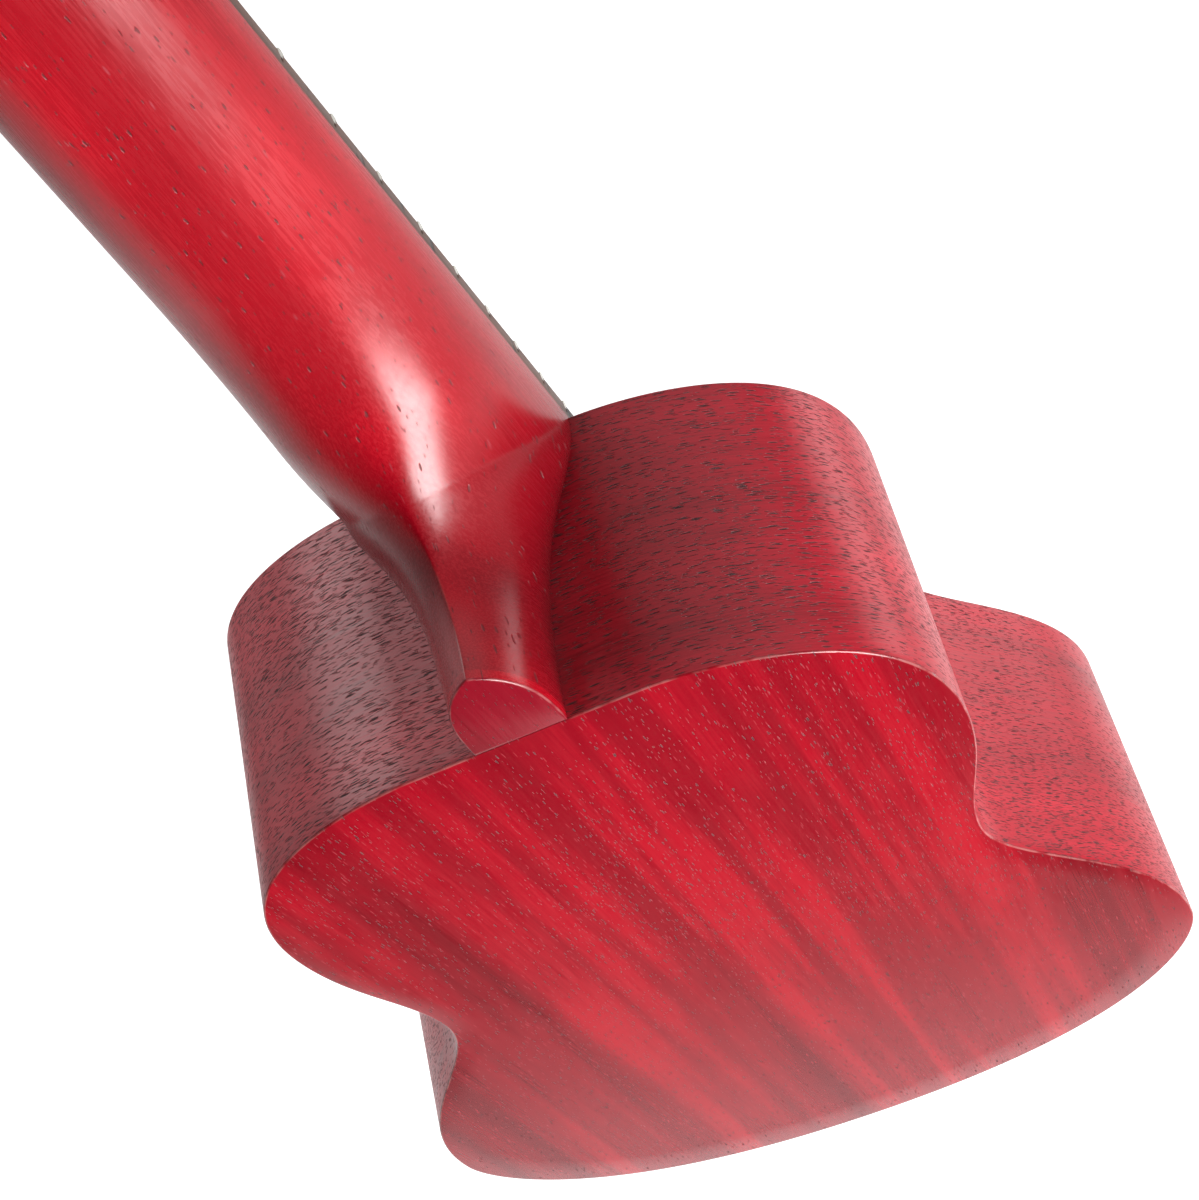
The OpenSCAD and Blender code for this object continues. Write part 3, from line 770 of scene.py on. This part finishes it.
def lining(name, side, face_y, inwards):
    """One lining's centre line, cut off at the blocks, and the kerfed strip along it."""
    path_points = []
    for i in range(len(side_points)):
        x, z = moved_in(side_points, i, PLATE + LINING_WIDTH / 2)
        if x > BLOCK_HALF or BLOCKS_LOW < z < BLOCKS_HIGH:
            path_points.append((side * x, face_y(z) + inwards * LINING_HEIGHT / 2, z))
    mesh = bpy.data.meshes.new(name + " line")
    mesh.from_pydata(path_points, [(i, i + 1) for i in range(len(path_points) - 1)], [])
    piece = grow(lining_tree, mesh, name + "_kerfed")
    stands_for(piece, name)


for label, side in (("left", -1), ("right", 1)):
    lining("top_lining_" + label, side, lambda z: FACE_Y + PLATE, 1)
    lining("back_lining_" + label, side, lambda z: back_y(z) - PLATE - GLUE_GAP, -1)

# ---------------------------------------------------------------- neck
# One piece of mahogany from the headstock to the heel, carved round behind the fretboard.
# The heel sweeps down the body and is pared to a keel where it meets its cap.
NECK_TOP = 0.4145
HEEL_TOP = 0.308
NUT_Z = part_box("nut")[0].z
NUT_HALF = 0.0175
JOINT_HALF = 0.023
CAP_LENGTH = 0.022
CAP_HALF = 0.009
SHAFT_THIN = 0.012
SHAFT_THICK = 0.017
SQUARE_RUN = 0.020  # how far below the headstock the round shaft starts to turn square
SQUARENESS = 60
GIRTH = 1.35  # how far it is round the shaft's half, in half widths
neck_wood = red_mahogany(
    "red neck", along_z, along_strip, (0.16, 0.0002, 0.004, 1), (0.26, 0.0003, 0.006, 1),
    (0.40, 0.0006, 0.009, 1), band=0.016, bands=0.35, fibres=0.15, clouds=0.5, pits=0.09,
    pit_length=0.0040, pit_width=0.0008, pit_size=0.20, pit=(0.11, 0.001, 0.004, 1),
    glint_amount=0.01, gloss=0.27, seed=40.0, depth=0.00012)


def mix(a, b, share):
    return a + (b - a) * share


def board_half(z):
    """Half the fretboard's width at a height."""
    return mix(JOINT_HALF, NUT_HALF, (z - BODY_LENGTH) / (NUT_Z - BODY_LENGTH))


def under_back(z):
    """Depth of the heel's foot below the cap, from the soundboard's face."""
    return TAIL_DEPTH - SLOPE * z - PLATE / cos(atan(SLOPE))


def heel_half(y):
    """Half the heel's width against the body; it flares out towards the fretboard."""
    flare, power = 0.022, 2.3
    foot = 1 / (1 + (under_back(BODY_LENGTH) / flare) ** power)
    base = (CAP_HALF - JOINT_HALF * foot) / (1 - foot)
    return base + (JOINT_HALF - base) / (1 + (y / flare) ** power)


spine = [(SHAFT_THICK, HEEL_TOP), (0.020, 0.270),
         (TAIL_DEPTH - SLOPE * BODY_LENGTH - 0.024, BODY_LENGTH + CAP_LENGTH - 0.002),
         (under_back(BODY_LENGTH + CAP_LENGTH), BODY_LENGTH + CAP_LENGTH)]


def blend3(a, b, c, share):
    """A value that starts at a, is drawn towards b and ends at c."""
    return a * (1 - share) ** 2 + 2 * b * share * (1 - share) + c * share ** 2


def taper(u, keel):
    """The share of the half width left at the share u of the way to the spine."""
    return max(0.0, 1 - u ** blend3(2.1, 0.65, 3.0, keel)) ** blend3(0.48, 0.86, 0.8, keel)


def eased_in(share):
    """A share held between 0 and 1, with a slow start and a slow end."""
    share = min(1.0, max(0.0, share))
    return share * share * (3 - 2 * share)


def keel_at(s):
    """How far the round back has turned into a keel at the share s of the heel's sweep."""
    return eased_in((s - 0.3) / 0.7)


def squared(z):
    """How far the round shaft has turned square where it runs into the headstock."""
    return eased_in((z - NECK_TOP) / SQUARE_RUN + 1)


def neck_sections():
    """Sections as (root, spine, half width, keel), upright on the shaft, fanned in the heel."""
    rows = []
    for i in range(60):
        z = mix(NECK_TOP, HEEL_TOP, i / 60)
        rows.append(((0, z), (mix(SHAFT_THIN, SHAFT_THICK, i / 60), z), board_half(z), 0.0))
    for i in range(61):
        z, s = mix(HEEL_TOP, BODY_LENGTH, i / 60), 0.5 * i / 60
        rows.append(((0, z), bezier(spine, s), board_half(z), keel_at(s)))
    for i in range(1, 81):
        y, s = mix(0, under_back(BODY_LENGTH), i / 80), 0.5 + 0.5 * i / 80
        rows.append(((y, BODY_LENGTH), bezier(spine, s), heel_half(y), keel_at(s)))
    return rows


RING = 36
vertices, keel_highlight_marks, lie_marks, heel_shade_marks = [], [], [], []
sections = neck_sections()
sweep = 0.0
for row, (root, top, half, keel) in enumerate(sections):
    if row:
        sweep += hypot(top[0] - sections[row - 1][1][0], top[1] - sections[row - 1][1][1])
    for i in range(-RING, RING + 1):
        u = sin(pi / 2 * (1 - abs(i) / RING))
        side = -1 if i > 0 else 1
        square = squared(root[1])
        narrowed = mix(taper(u, keel), max(0.0, 1 - u ** SQUARENESS) ** 0.5, square)
        x = side * half * narrowed if i else 0.0
        y, z = mix(root[0], top[0], u), mix(root[1], top[1], u)
        vertices.append((x, FACE_Y + y, z))
        lie_marks.append((-sweep, GIRTH * half * i / RING))
        # A highlight is painted along the keel's ridge where keel passes one half.
        keel_highlight_marks.append(keel * exp(-((i / 1.2) ** 2)) * 0.6 if keel > 0.5 else 0.0)
        # Painted shade: darker towards the heel's foot and towards its flanks.
        heel_shade_marks.append(min(1.0, 4 * keel) * (0.2 + 0.4 * abs(i) / RING))
shaft = new_object("neck_shaft", vertices, skin(2 * RING + 1, len(sections)), [neck_wood])
mark(shaft, "edge", keel_highlight_marks)
mark(shaft, "soaked", heel_shade_marks)
lay_strip(shaft, lie_marks)
tidy_normals(shaft)

# The headstock is sawn from the same piece, 12 mm thick, with its edges rounded over.
HEAD_THICK = 0.012
HEAD_ROUND = 0.0011
HEAD_PORES, CAP_PORES = 0.1, 0.03  # where each takes its pores from, so that no two match
HEAD_SIDES = [
    ((17.5, 3), (17.5, 13), (27, 15), (27.5, 28)),
    ((27.5, 28), (28.2, 52), (28.8, 76), (29.5, 100)),
    ((29.5, 100), (29.5, 107), (12, 108), (0, 112)),
]
head_points = [(x * MM, NUT_Z + z * MM) for x, z, _ in even_steps(HEAD_SIDES, 90)]
head_ring = head_points + [(-x, z) for x, z in head_points[-2::-1]]
vertices = [(x, FACE_Y + y, z) for y in (0, HEAD_THICK) for x, z in head_ring]
head = new_object("headstock", vertices, skin(len(head_ring), 2), [neck_wood])
work = opened(head.data)
bmesh.ops.recalc_face_normals(work, faces=work.faces)
rims = [e for e in work.edges if e.calc_face_angle(0) > radians(60)
        and abs(e.verts[0].co.y - e.verts[1].co.y) < 1e-6
        and max(v.co.z for v in e.verts) > NUT_Z + 0.006]
bmesh.ops.bevel(work, geom=rims, offset=HEAD_ROUND, segments=4, profile=0.5, affect="EDGES",
                clamp_overlap=True)
closed(work, head.data)
lay_strip(head, [(v.co.z, v.co.x + HEAD_PORES) for v in head.data.vertices])


def cut(piece, tool, operation="DIFFERENCE"):
    """Cuts a tool out of a piece, or joins it on, and throws the tool away."""
    modifier = piece.modifiers.new("cut", "BOOLEAN")
    modifier.operation, modifier.solver, modifier.object = operation, "EXACT", tool
    graph = bpy.context.evaluated_depsgraph_get()
    mesh = bpy.data.meshes.new_from_object(piece.evaluated_get(graph))
    piece.modifiers.clear()
    piece.data = mesh
    bpy.data.objects.remove(tool)


def drilled(name, holes):
    """Round bars along Y, as one tool: (x, z, radius, y from, y to) from the face."""
    work = bmesh.new()
    for x, z, radius, low, high in holes:
        turned = Matrix.Rotation(pi / 2, 4, "X")
        place = Matrix.Translation((x, FACE_Y + (low + high) / 2, z)) @ turned
        bmesh.ops.create_cone(work, cap_ends=True, segments=40, radius1=radius,
                              radius2=radius, depth=high - low, matrix=place)
    return shown(name, closed(work, bpy.data.meshes.new(name)))


STRINGS = {"g": (-1, 0.038), "c": (-1, 0.078), "e": (1, 0.078), "a": (1, 0.038)}
POST_X = 0.014
SCREW_OFFSETS = (-0.0075, 0.012)
BUSHING_HALF, POST_HALF, PILOT_HALF = 0.004, 0.0033, 0.0009
BUSHING_DEEP, PILOT_DEEP = 0.008, 0.007
BREAK = 0.001  # how far a drill breaks out past the wood
bores = []
for side, height in STRINGS.values():
    x, z = side * POST_X, NUT_Z + height
    bores.append((x, z, BUSHING_HALF, -BREAK, BUSHING_DEEP))
    bores += [(x, z + dz, PILOT_HALF, HEAD_THICK - PILOT_DEEP, HEAD_THICK + BREAK)
              for dz in SCREW_OFFSETS]
cut(shaft, head, "UNION")
cut(shaft, drilled("bores", bores))
through = [(side * POST_X, NUT_Z + height, POST_HALF, BUSHING_DEEP - BREAK, HEAD_THICK + BREAK)
           for side, height in STRINGS.values()]
cut(shaft, drilled("through bores", through))
tidy_normals(shaft, 40)
stands_for(shaft, "neck")

# ---------------------------------------------------------------- heel cap
# A tongue of the back's own mahogany, 2 mm thick, glued over the heel's foot so that the back
# seems to run on over it. Its front edge is rubbed round, and a highlight is painted on it.
CAP_ROUND = 0.0004
CAP_GAP = 0.00008  # the glue line against the back
cap_line = []
for i in range(49):
    u = sin(pi / 2 * i / 48)
    cap_line.append((CAP_HALF * taper(u, 1.0), BODY_LENGTH + CAP_LENGTH * u))
cap_line += [(-x, z) for x, z in cap_line[-2::-1]]
cap_centre = (0.0, BODY_LENGTH + 0.3 * CAP_LENGTH)
cap_levels = [(CAP_ROUND * (1 - sin(a)), CAP_ROUND * (1 - cos(a)))
              for a in [pi / 2 * k / 4 for k in range(5)]] + [(0.0, PLATE)]
vertices, marks = [], []
for level, (inset, depth) in enumerate(cap_levels):
    for x, z in cap_line:
        dx, dz = x - cap_centre[0], z - cap_centre[1]
        keep = 1 - inset / hypot(dx, dz)
        z_in = max(BODY_LENGTH + CAP_GAP, cap_centre[1] + dz * keep)
        vertices.append((cap_centre[0] + dx * keep, back_y(z_in) - depth, z_in))
        # The rounded front edge is marked for a painted highlight.
        marks.append(0.9 if 1 <= level <= 3 and z > BODY_LENGTH + 0.002 else 0.0)
count = len(cap_line)
cap_wood = red_mahogany(
    "red cap", along_face, along_face, (0.13, 0.0004, 0.005, 1), (0.175, 0.0006, 0.008, 1),
    (0.22, 0.001, 0.010, 1), band=0.010, bands=0.4, fibres=0.3, clouds=0.3, pits=0.12,
    pit_length=0.0025, pit_width=0.0005, pit_size=0.18, glint_amount=0.05, gloss=0.23, seed=52.0)
cap = new_object("cap", vertices, skin(count, len(cap_levels)), [cap_wood, neck_wood])
rim_faces = range((len(cap_levels) - 2) * count, (len(cap_levels) - 1) * count)
for i in rim_faces:
    cap.data.polygons[i].material_index = 1
mark(cap, "edge", marks)
lay_strip(cap, [(-v.co.z, v.co.x + CAP_PORES) for v in cap.data.vertices])
tidy_normals(cap)
stands_for(cap, "heel_cap")

# ---------------------------------------------------------------- fretboard
# A board of rosewood, 3 mm thick and tapered from 46 to 35 mm, glued along the neck and onto
# the soundboard. It has a sawn slot for each fret, and its edges are eased.


def worked_copy(node, name, material, ease=0.0002, segments=2, body="instrument",
                sharp=30):
    """A CAD node's shape with its sharp edges eased, in place of the node."""
    work = opened(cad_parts[node].data)
    bmesh.ops.remove_doubles(work, verts=work.verts, dist=1e-6)
    bmesh.ops.dissolve_limit(work, angle_limit=radians(1), verts=work.verts, edges=work.edges)
    edges = [e for e in work.edges if len(e.link_faces) == 2
             and e.calc_face_angle(0) > radians(sharp)]
    if ease:
        bmesh.ops.bevel(work, geom=edges, offset=ease, segments=segments, profile=0.5,
                        affect="EDGES", clamp_overlap=True)
    mesh = closed(work, bpy.data.meshes.new(name))
    mesh.materials.append(material)
    mesh.shade_smooth()
    mesh.set_sharp_from_angle(angle=radians(sharp))
    piece = shown(name, mesh)
    stands_for(piece, node, body)
    return piece


def dark_rosewood(name, grain, seed):
    """Oiled rosewood: brown with near-black streaks and fine open pores."""
    material, tree = new_material(name)
    lines = grain(tree)
    look = use(tree, figure, Grain=lines, Band_Width=0.0045, Fibre_Width=0.0003,
               Cloud_Size=0.02, Seed=seed)
    fine_pores = use(tree, pores, Grain=lines, Length=0.0035, Width=0.0005, Share=0.5,
                     Thickness=0.25, Seed=seed)["Pores"]
    colour = mixed(tree, look["Bands"], (0.030, 0.011, 0.008, 1), (0.105, 0.042, 0.026, 1))
    colour = mixed(tree, times(tree, look["Fibres"], 0.4), colour, (0.16, 0.070, 0.042, 1))
    colour = mixed(tree, fine_pores, colour, (0.008, 0.004, 0.003, 1))
    rough = plus(tree, times(tree, look["Clouds"], 0.14), 0.38)
    height = minus(tree, times(tree, look["Fibres"], 0.3), fine_pores)
    finish(material, colour, rough, height, 0.00012)
    return material


board_wood = dark_rosewood("fretboard rosewood", along_z, 61.0)
worked_copy("fretboard", "board", board_wood, 0.00018)

# ---------------------------------------------------------------- frets
# Fifteen lengths of nickel silver wire with a rounded crown, pressed by a tang into the
# slots and filed flush with the board's edges.
TARNISH = (0.35, 0.32, 0.27, 1)


def metal(name, colour, dull, amount=0.25, stretch=(1, 1, 1)):
    """Plated or bare metal with fine brushing and dull patches."""
    material, tree = new_material(name)
    place = own_place(tree)
    drawn = scaled(tree, place, *[900 * s for s in stretch])
    brush, cloud = noise(tree, drawn), noise(tree, place, 160.0, 3.0)
    stained = times(tree, grade(tree, cloud, 0.45, 0.75), amount)
    shade = mixed(tree, stained, colour, TARNISH)
    rough = plus(tree, times(tree, brush, 0.09), dull)
    rough = plus(tree, rough, times(tree, stained, 0.5))
    finish(material, shade, rough, brush, 0.00001, Metallic=1.0)
    return material


fret_metal = metal("nickel silver", (0.78, 0.75, 0.68, 1), 0.18, stretch=(0.1, 1, 1))
SCALE = NUT_Z - (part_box("saddle")[0].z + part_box("saddle")[1].z) / 2
BOARD_THICK = 0.003
fret_tree, given, gives = geometry_tree(
    "frets", Frets=15, Scale_Length=SCALE, Nut_Height=NUT_Z, Joint_Height=BODY_LENGTH,
    Nut_Width=2 * NUT_HALF, Joint_Width=2 * JOINT_HALF, Board_Face=FACE_Y - BOARD_THICK,
    Crown_Width=0.002, Crown_Height=0.0009)
number = plus(fret_tree, get(fret_tree, "GeometryNodeInputIndex"), 1.0)
share = maths(fret_tree, "POWER", 2.0, maths(fret_tree, "DIVIDE", number, -12.0))
reach = times(fret_tree, given["Scale Length"], minus(fret_tree, 1.0, share))
fret_z = minus(fret_tree, given["Nut Height"], reach)
fret_width = get(fret_tree, "ShaderNodeMapRange", {"clamp": False}, Value=fret_z,
                 From_Min=given["Joint Height"], From_Max=given["Nut Height"],
                 To_Min=given["Joint Width"], To_Max=given["Nut Width"])
row = get(fret_tree, "GeometryNodeMeshLine", {"mode": "OFFSET"}, Count=given["Frets"],
          Offset=(0, 0, 0))
spot = vector(fret_tree, 0.0, given["Board Face"], fret_z)
row = get(fret_tree, "GeometryNodeSetPosition", Geometry=row, Position=spot)
wire = get(fret_tree, "GeometryNodeMeshCylinder", {"fill_type": "NGON"}, Vertices=28,
           Radius=1.0, Depth=1.0)
crown_half = times(fret_tree, given["Crown Width"], 0.5)
crown_size = vector(fret_tree, crown_half, given["Crown Height"], 1.0)
wire = moved(fret_tree, moved(fret_tree, wire, Scale=crown_size), Rotation=(0.0, pi / 2, 0.0))
TANG_DEEP, TANG_THICK = 0.0017, 0.0006
tang = get(fret_tree, "GeometryNodeMeshCube", Size=(0.98, TANG_DEEP, TANG_THICK))
tang = moved(fret_tree, tang, Translation=(0, TANG_DEEP / 2, 0))
long = vector(fret_tree, fret_width, 1.0, 1.0)
set_in = get(fret_tree, "GeometryNodeInstanceOnPoints", Points=row, Scale=long,
             Instance=together(fret_tree, tang, wire))
end_tree(fret_tree, gives, set_in, fret_metal)
fret_wires = grow(fret_tree, bpy.data.meshes.new("fret places"), "fret_wires", Frets=15)
stands_for(fret_wires, "frets")

# ---------------------------------------------------------------- dots, nut, saddle
# Round pearl-coloured dots let into the board, and a nut and a saddle of cream plastic that
# looks like bone, cut with a groove for each string.


def bone(name, pale, warm, gloss, vein=140.0):
    """Cream plastic or bone: faint streaks, specks and a soft polish."""
    material, tree = new_material(name)
    place = own_place(tree)
    streak = noise(tree, scaled(tree, place, 0.25, 1, 1), vein * 4, 3.0)
    cloud = noise(tree, place, vein)
    tone = times(tree, grade(tree, streak, 0.35, 0.7), grade(tree, cloud, 0.3, 0.7))
    colour = mixed(tree, tone, pale, warm)
    rough = plus(tree, times(tree, cloud, 0.12), gloss)
    finish(material, colour, rough, streak, 0.00002, Subsurface_Weight=0.08,
           Subsurface_Scale=0.002)
    return material


ivory = bone("cream bone", (0.62, 0.57, 0.45, 1), (0.48, 0.40, 0.28, 1), 0.30)
pearl = bone("pearl", (0.86, 0.87, 0.86, 1), (0.62, 0.68, 0.70, 1), 0.18, 420.0)
button_plastic = bone("button plastic", (0.52, 0.51, 0.46, 1), (0.40, 0.38, 0.33, 1), 0.24, 90.0)
worked_copy("position_dots", "dots", pearl, 0.0)
worked_copy("nut", "nut_block", ivory, 0.00025, 3)
worked_copy("saddle", "saddle_strip", ivory, 0.0002, 3)

# ---------------------------------------------------------------- bridge
# A bar of rosewood glued to the soundboard. The saddle stands in its slot, and each string's
# knot is held behind a sawn notch.
bridge_wood = dark_rosewood("bridge rosewood", along_x, 77.0)
worked_copy("bridge", "bridge_bar", bridge_wood, 0.0004, 3)

# ---------------------------------------------------------------- strings
# Four nylon strings, knotted behind the bridge, stretched over the saddle and the nut, and
# wound three times round their posts.
STRING_RADII = {"g": 0.00033, "c": 0.00047, "e": 0.00040, "a": 0.00033}
SADDLE_PITCH = 0.0135
NUT_PITCH = 0.009
SADDLE_Z = NUT_Z - SCALE
BRIDGE_LOW = SADDLE_Z - 0.009
WINDING_Y = -0.0035
POST_RADIUS = 0.003
CLEAR = 0.00002  # between a string and its post
KNOT_Y = FACE_Y - 0.0041
KNOT_SIZE = 0.00095
WIND_STEPS = 32

nylon, tree = new_material("nylon")
haze = noise(tree, own_place(tree), 300.0)
finish(nylon, mixed(tree, haze, (0.80, 0.79, 0.74, 1), (0.92, 0.92, 0.90, 1)),
       plus(tree, times(tree, haze, 0.1), 0.18), haze, 0.00001,
       Subsurface_Weight=0.25, Subsurface_Scale=0.001)


def tube(name, points, radius, material, sides=12):
    """A closed round tube along points; each ring is square to the path."""
    vertices = []
    points = [Vector(p) for p in points]
    up = Vector((1, 0, 0))
    for i, point in enumerate(points):
        ahead = (points[min(i + 1, len(points) - 1)] - points[max(i - 1, 0)]).normalized()
        up = (up - ahead * up.dot(ahead)).normalized()
        beside = ahead.cross(up)
        for k in range(sides):
            a = 2 * pi * k / sides
            vertices.append(point + radius * (up * cos(a) + beside * sin(a)))
    piece = new_object(name, vertices, skin(sides, len(points)), [material])
    tidy_normals(piece, 60)
    return piece


def eased(points, radius, steps=6):
    """A path with its corners bent round by radius."""
    points = [Vector(p) for p in points]
    out = [points[0]]
    for a, b, c in zip(points, points[1:], points[2:]):
        into = b + (a - b).normalized() * radius
        off = b + (c - b).normalized() * radius
        for k in range(steps + 1):
            t = k / steps
            out.append(into * (1 - t) ** 2 + b * 2 * t * (1 - t) + off * t * t)
    return out + [points[-1]]


def joined(name, pieces):
    """Several meshes of one material made one piece."""
    work = bmesh.new()
    for piece in pieces:
        work.from_mesh(piece.data)
    mesh = closed(work, pieces[0].data.copy())
    for piece in pieces:
        bpy.data.objects.remove(piece)
    return shown(name, mesh)


for order, (label, (side, height)) in enumerate(STRINGS.items()):
    radius = STRING_RADII[label]
    saddle_x, nut_x = (order - 1.5) * SADDLE_PITCH, (order - 1.5) * NUT_PITCH
    wound = POST_RADIUS + CLEAR + 2 * radius
    post = Vector((side * POST_X, FACE_Y, NUT_Z + height))
    route = [
        (saddle_x, KNOT_Y, BRIDGE_LOW - 0.001),
        (saddle_x, FACE_Y - 0.0043, BRIDGE_LOW + 0.003),
        (saddle_x, FACE_Y - 0.0086, SADDLE_Z),
        (nut_x, FACE_Y - 0.0050, NUT_Z + 0.0025),
        (post.x - side * (wound + radius + 0.0003), FACE_Y + WINDING_Y, post.z)]
    line = tube("line", eased(route, 0.0012), radius, nylon)
    knot_path = []
    for k in range(40):
        a = 2 * pi * k / 39
        loop = KNOT_SIZE * (1 + 0.35 * cos(3 * a))
        knot_path.append((saddle_x + loop * cos(2 * a), KNOT_Y + 0.0005 * sin(3 * a),
                          BRIDGE_LOW - 0.0020 + loop * sin(2 * a)))
    knot = tube("knot", knot_path, radius * 0.9, nylon, 10)
    string = joined("nylon_string_" + label, [line, knot])
    stands_for(string, "string_" + label)
    coil = []
    for k in range(3 * WIND_STEPS + 1):
        turn = k / WIND_STEPS
        a, reach = 2 * pi * turn, POST_RADIUS + radius + CLEAR
        coil.append((post.x + reach * cos(a), FACE_Y + WINDING_Y + 2 * radius * (turn - 1.5),
                     post.z + reach * sin(a)))
    wrap = tube("turns_" + label, coil, radius, nylon)
    stands_for(wrap, "winding_" + label, "post_%s_turn" % label)

# ---------------------------------------------------------------- tuners
# Open geared tuners of nickel-plated steel: a plate with two ears, a worm on the button's
# shaft, a gear screwed to the post, and a bushing pressed in from the headstock's face.
plate_metal = metal("nickel plate", (0.80, 0.79, 0.77, 1), 0.22, amount=0.2)
gear_metal = metal("brass gear", (0.78, 0.62, 0.34, 1), 0.26, amount=0.35)
worked_copy("tuner_plates", "plates", plate_metal, 0.00022, 3)
worked_copy("post_bushings", "bushings", plate_metal, 0.0003, 3)

# Eight small domed wood screws with a driver slot hold the plates.
screw_tree, given, gives = geometry_tree(
    "plate screws", Head_Radius=0.0018, Head_Height=0.0011, Shank_Radius=0.00088,
    Shank_Length=0.008, Slot_Width=0.00045)
dome = get(screw_tree, "GeometryNodeMeshUVSphere", Segments=24, Rings=12, Radius=1.0)
dome_size = vector(screw_tree, given["Head Radius"], given["Head Height"], given["Head Radius"])
dome = moved(screw_tree, moved(screw_tree, dome, Rotation=(pi / 2, 0, 0)), Scale=dome_size)
slot_size = vector(screw_tree, 0.01, given["Head Height"], given["Slot Width"])
slot_tool = get(screw_tree, "GeometryNodeMeshCube", Size=slot_size)
slot_place = vector(screw_tree, 0.0, given["Head Height"], 0.0)
slot_tool = moved(screw_tree, slot_tool, Translation=slot_place)
below = get(screw_tree, "GeometryNodeMeshCube", Size=(0.01, 0.01, 0.01))
below = moved(screw_tree, below, Translation=(0, -0.005, 0))
screw_head = put(screw_tree, "GeometryNodeMeshBoolean", {"operation": "DIFFERENCE"})
for shape, socket in ((dome, "Mesh 1"), (below, "Mesh 2"), (slot_tool, "Mesh 2")):
    screw_tree.links.new(shape, screw_head.inputs[socket])
shank = get(screw_tree, "GeometryNodeMeshCylinder", {"fill_type": "NGON"}, Vertices=16,
            Radius=given["Shank Radius"], Depth=given["Shank Length"])
shank_place = vector(screw_tree, 0.0, times(screw_tree, given["Shank Length"], -0.5), 0.0)
shank = moved(screw_tree, shank, Rotation=(pi / 2, 0, 0), Translation=shank_place)
driven = get(screw_tree, "GeometryNodeInstanceOnPoints", Points=given["Geometry"],
             Instance=together(screw_tree, screw_head.outputs[0], shank))
end_tree(screw_tree, gives, driven, plate_metal)
PLATE_FACE = FACE_Y + HEAD_THICK + 0.001
screw_places = bpy.data.meshes.new("screw places")
screw_places.from_pydata([(side * POST_X, PLATE_FACE, NUT_Z + height + dz)
                          for side, height in STRINGS.values() for dz in SCREW_OFFSETS], [], [])
screws = grow(screw_tree, screw_places, "plate_screws", 40)
stands_for(screws, "tuner_screws")

# Each button is a rounded lobe of cream plastic, pressed and screwed on the worm's shaft.
BUTTON_IN = 0.033
WORM_RISE = 0.0068  # the worm's axis, above its post's
BUTTON_LENGTH = 0.014
BUTTON_HALF = 0.0085
BUTTON_THICK = 0.0035


def button_shape(name, side, axis_y, axis_z):
    """A flattened oval knob: full in outline, pillowed in section."""
    rings, sides = 28, 48
    vertices = []
    middle = BUTTON_IN + BUTTON_LENGTH / 2

    def full(value, power):
        return (1 if value >= 0 else -1) * abs(value) ** power

    for j in range(1, rings):
        b = pi * j / rings - pi / 2
        for i in range(sides):
            a = 2 * pi * i / sides
            x = BUTTON_LENGTH / 2 * full(cos(a), 0.85) * full(cos(b), 0.55)
            z = BUTTON_HALF * full(sin(a), 0.95) * full(cos(b), 0.55)
            y = BUTTON_THICK * full(sin(b), 0.75)
            vertices.append((side * (middle + x), axis_y + y, axis_z + z))
    faces = skin(sides, rings - 1, False, False)
    for first, y in ((0, -BUTTON_THICK), ((rings - 2) * sides, BUTTON_THICK)):
        pole = len(vertices)
        vertices.append((side * middle, axis_y + y, axis_z))
        faces += [(first + i, first + (i + 1) % sides, pole) for i in range(sides)]
    piece = new_object(name, vertices, faces, [button_plastic])
    tidy_normals(piece, 60)
    return piece


for label, (side, height) in STRINGS.items():
    turning, held = "post_%s_turn" % label, "button_%s_turn" % label
    low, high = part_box("worm_" + label)
    axis_y, axis_z = (low.y + high.y) / 2, NUT_Z + height + WORM_RISE
    for node, name, material, ease, segments, body, sharp in (
            ("post_", "string_post_", plate_metal, 0.0002, 2, turning, 30),
            ("gear_", "toothed_gear_", gear_metal, 0.00012, 1, turning, 30),
            ("gear_screw_", "screw_of_gear_", plate_metal, 0.00015, 2, turning, 30),
            ("worm_", "worm_shaft_", plate_metal, 0.0, 2, held, 50),
            ("button_screw_", "screw_of_knob_", plate_metal, 0.0002, 2, held, 30)):
        worked_copy(node + label, name + label, material, ease, segments, body,
                    sharp)
    knob = button_shape("knob_" + label, side, axis_y, axis_z)
    stands_for(knob, "button_" + label, held)
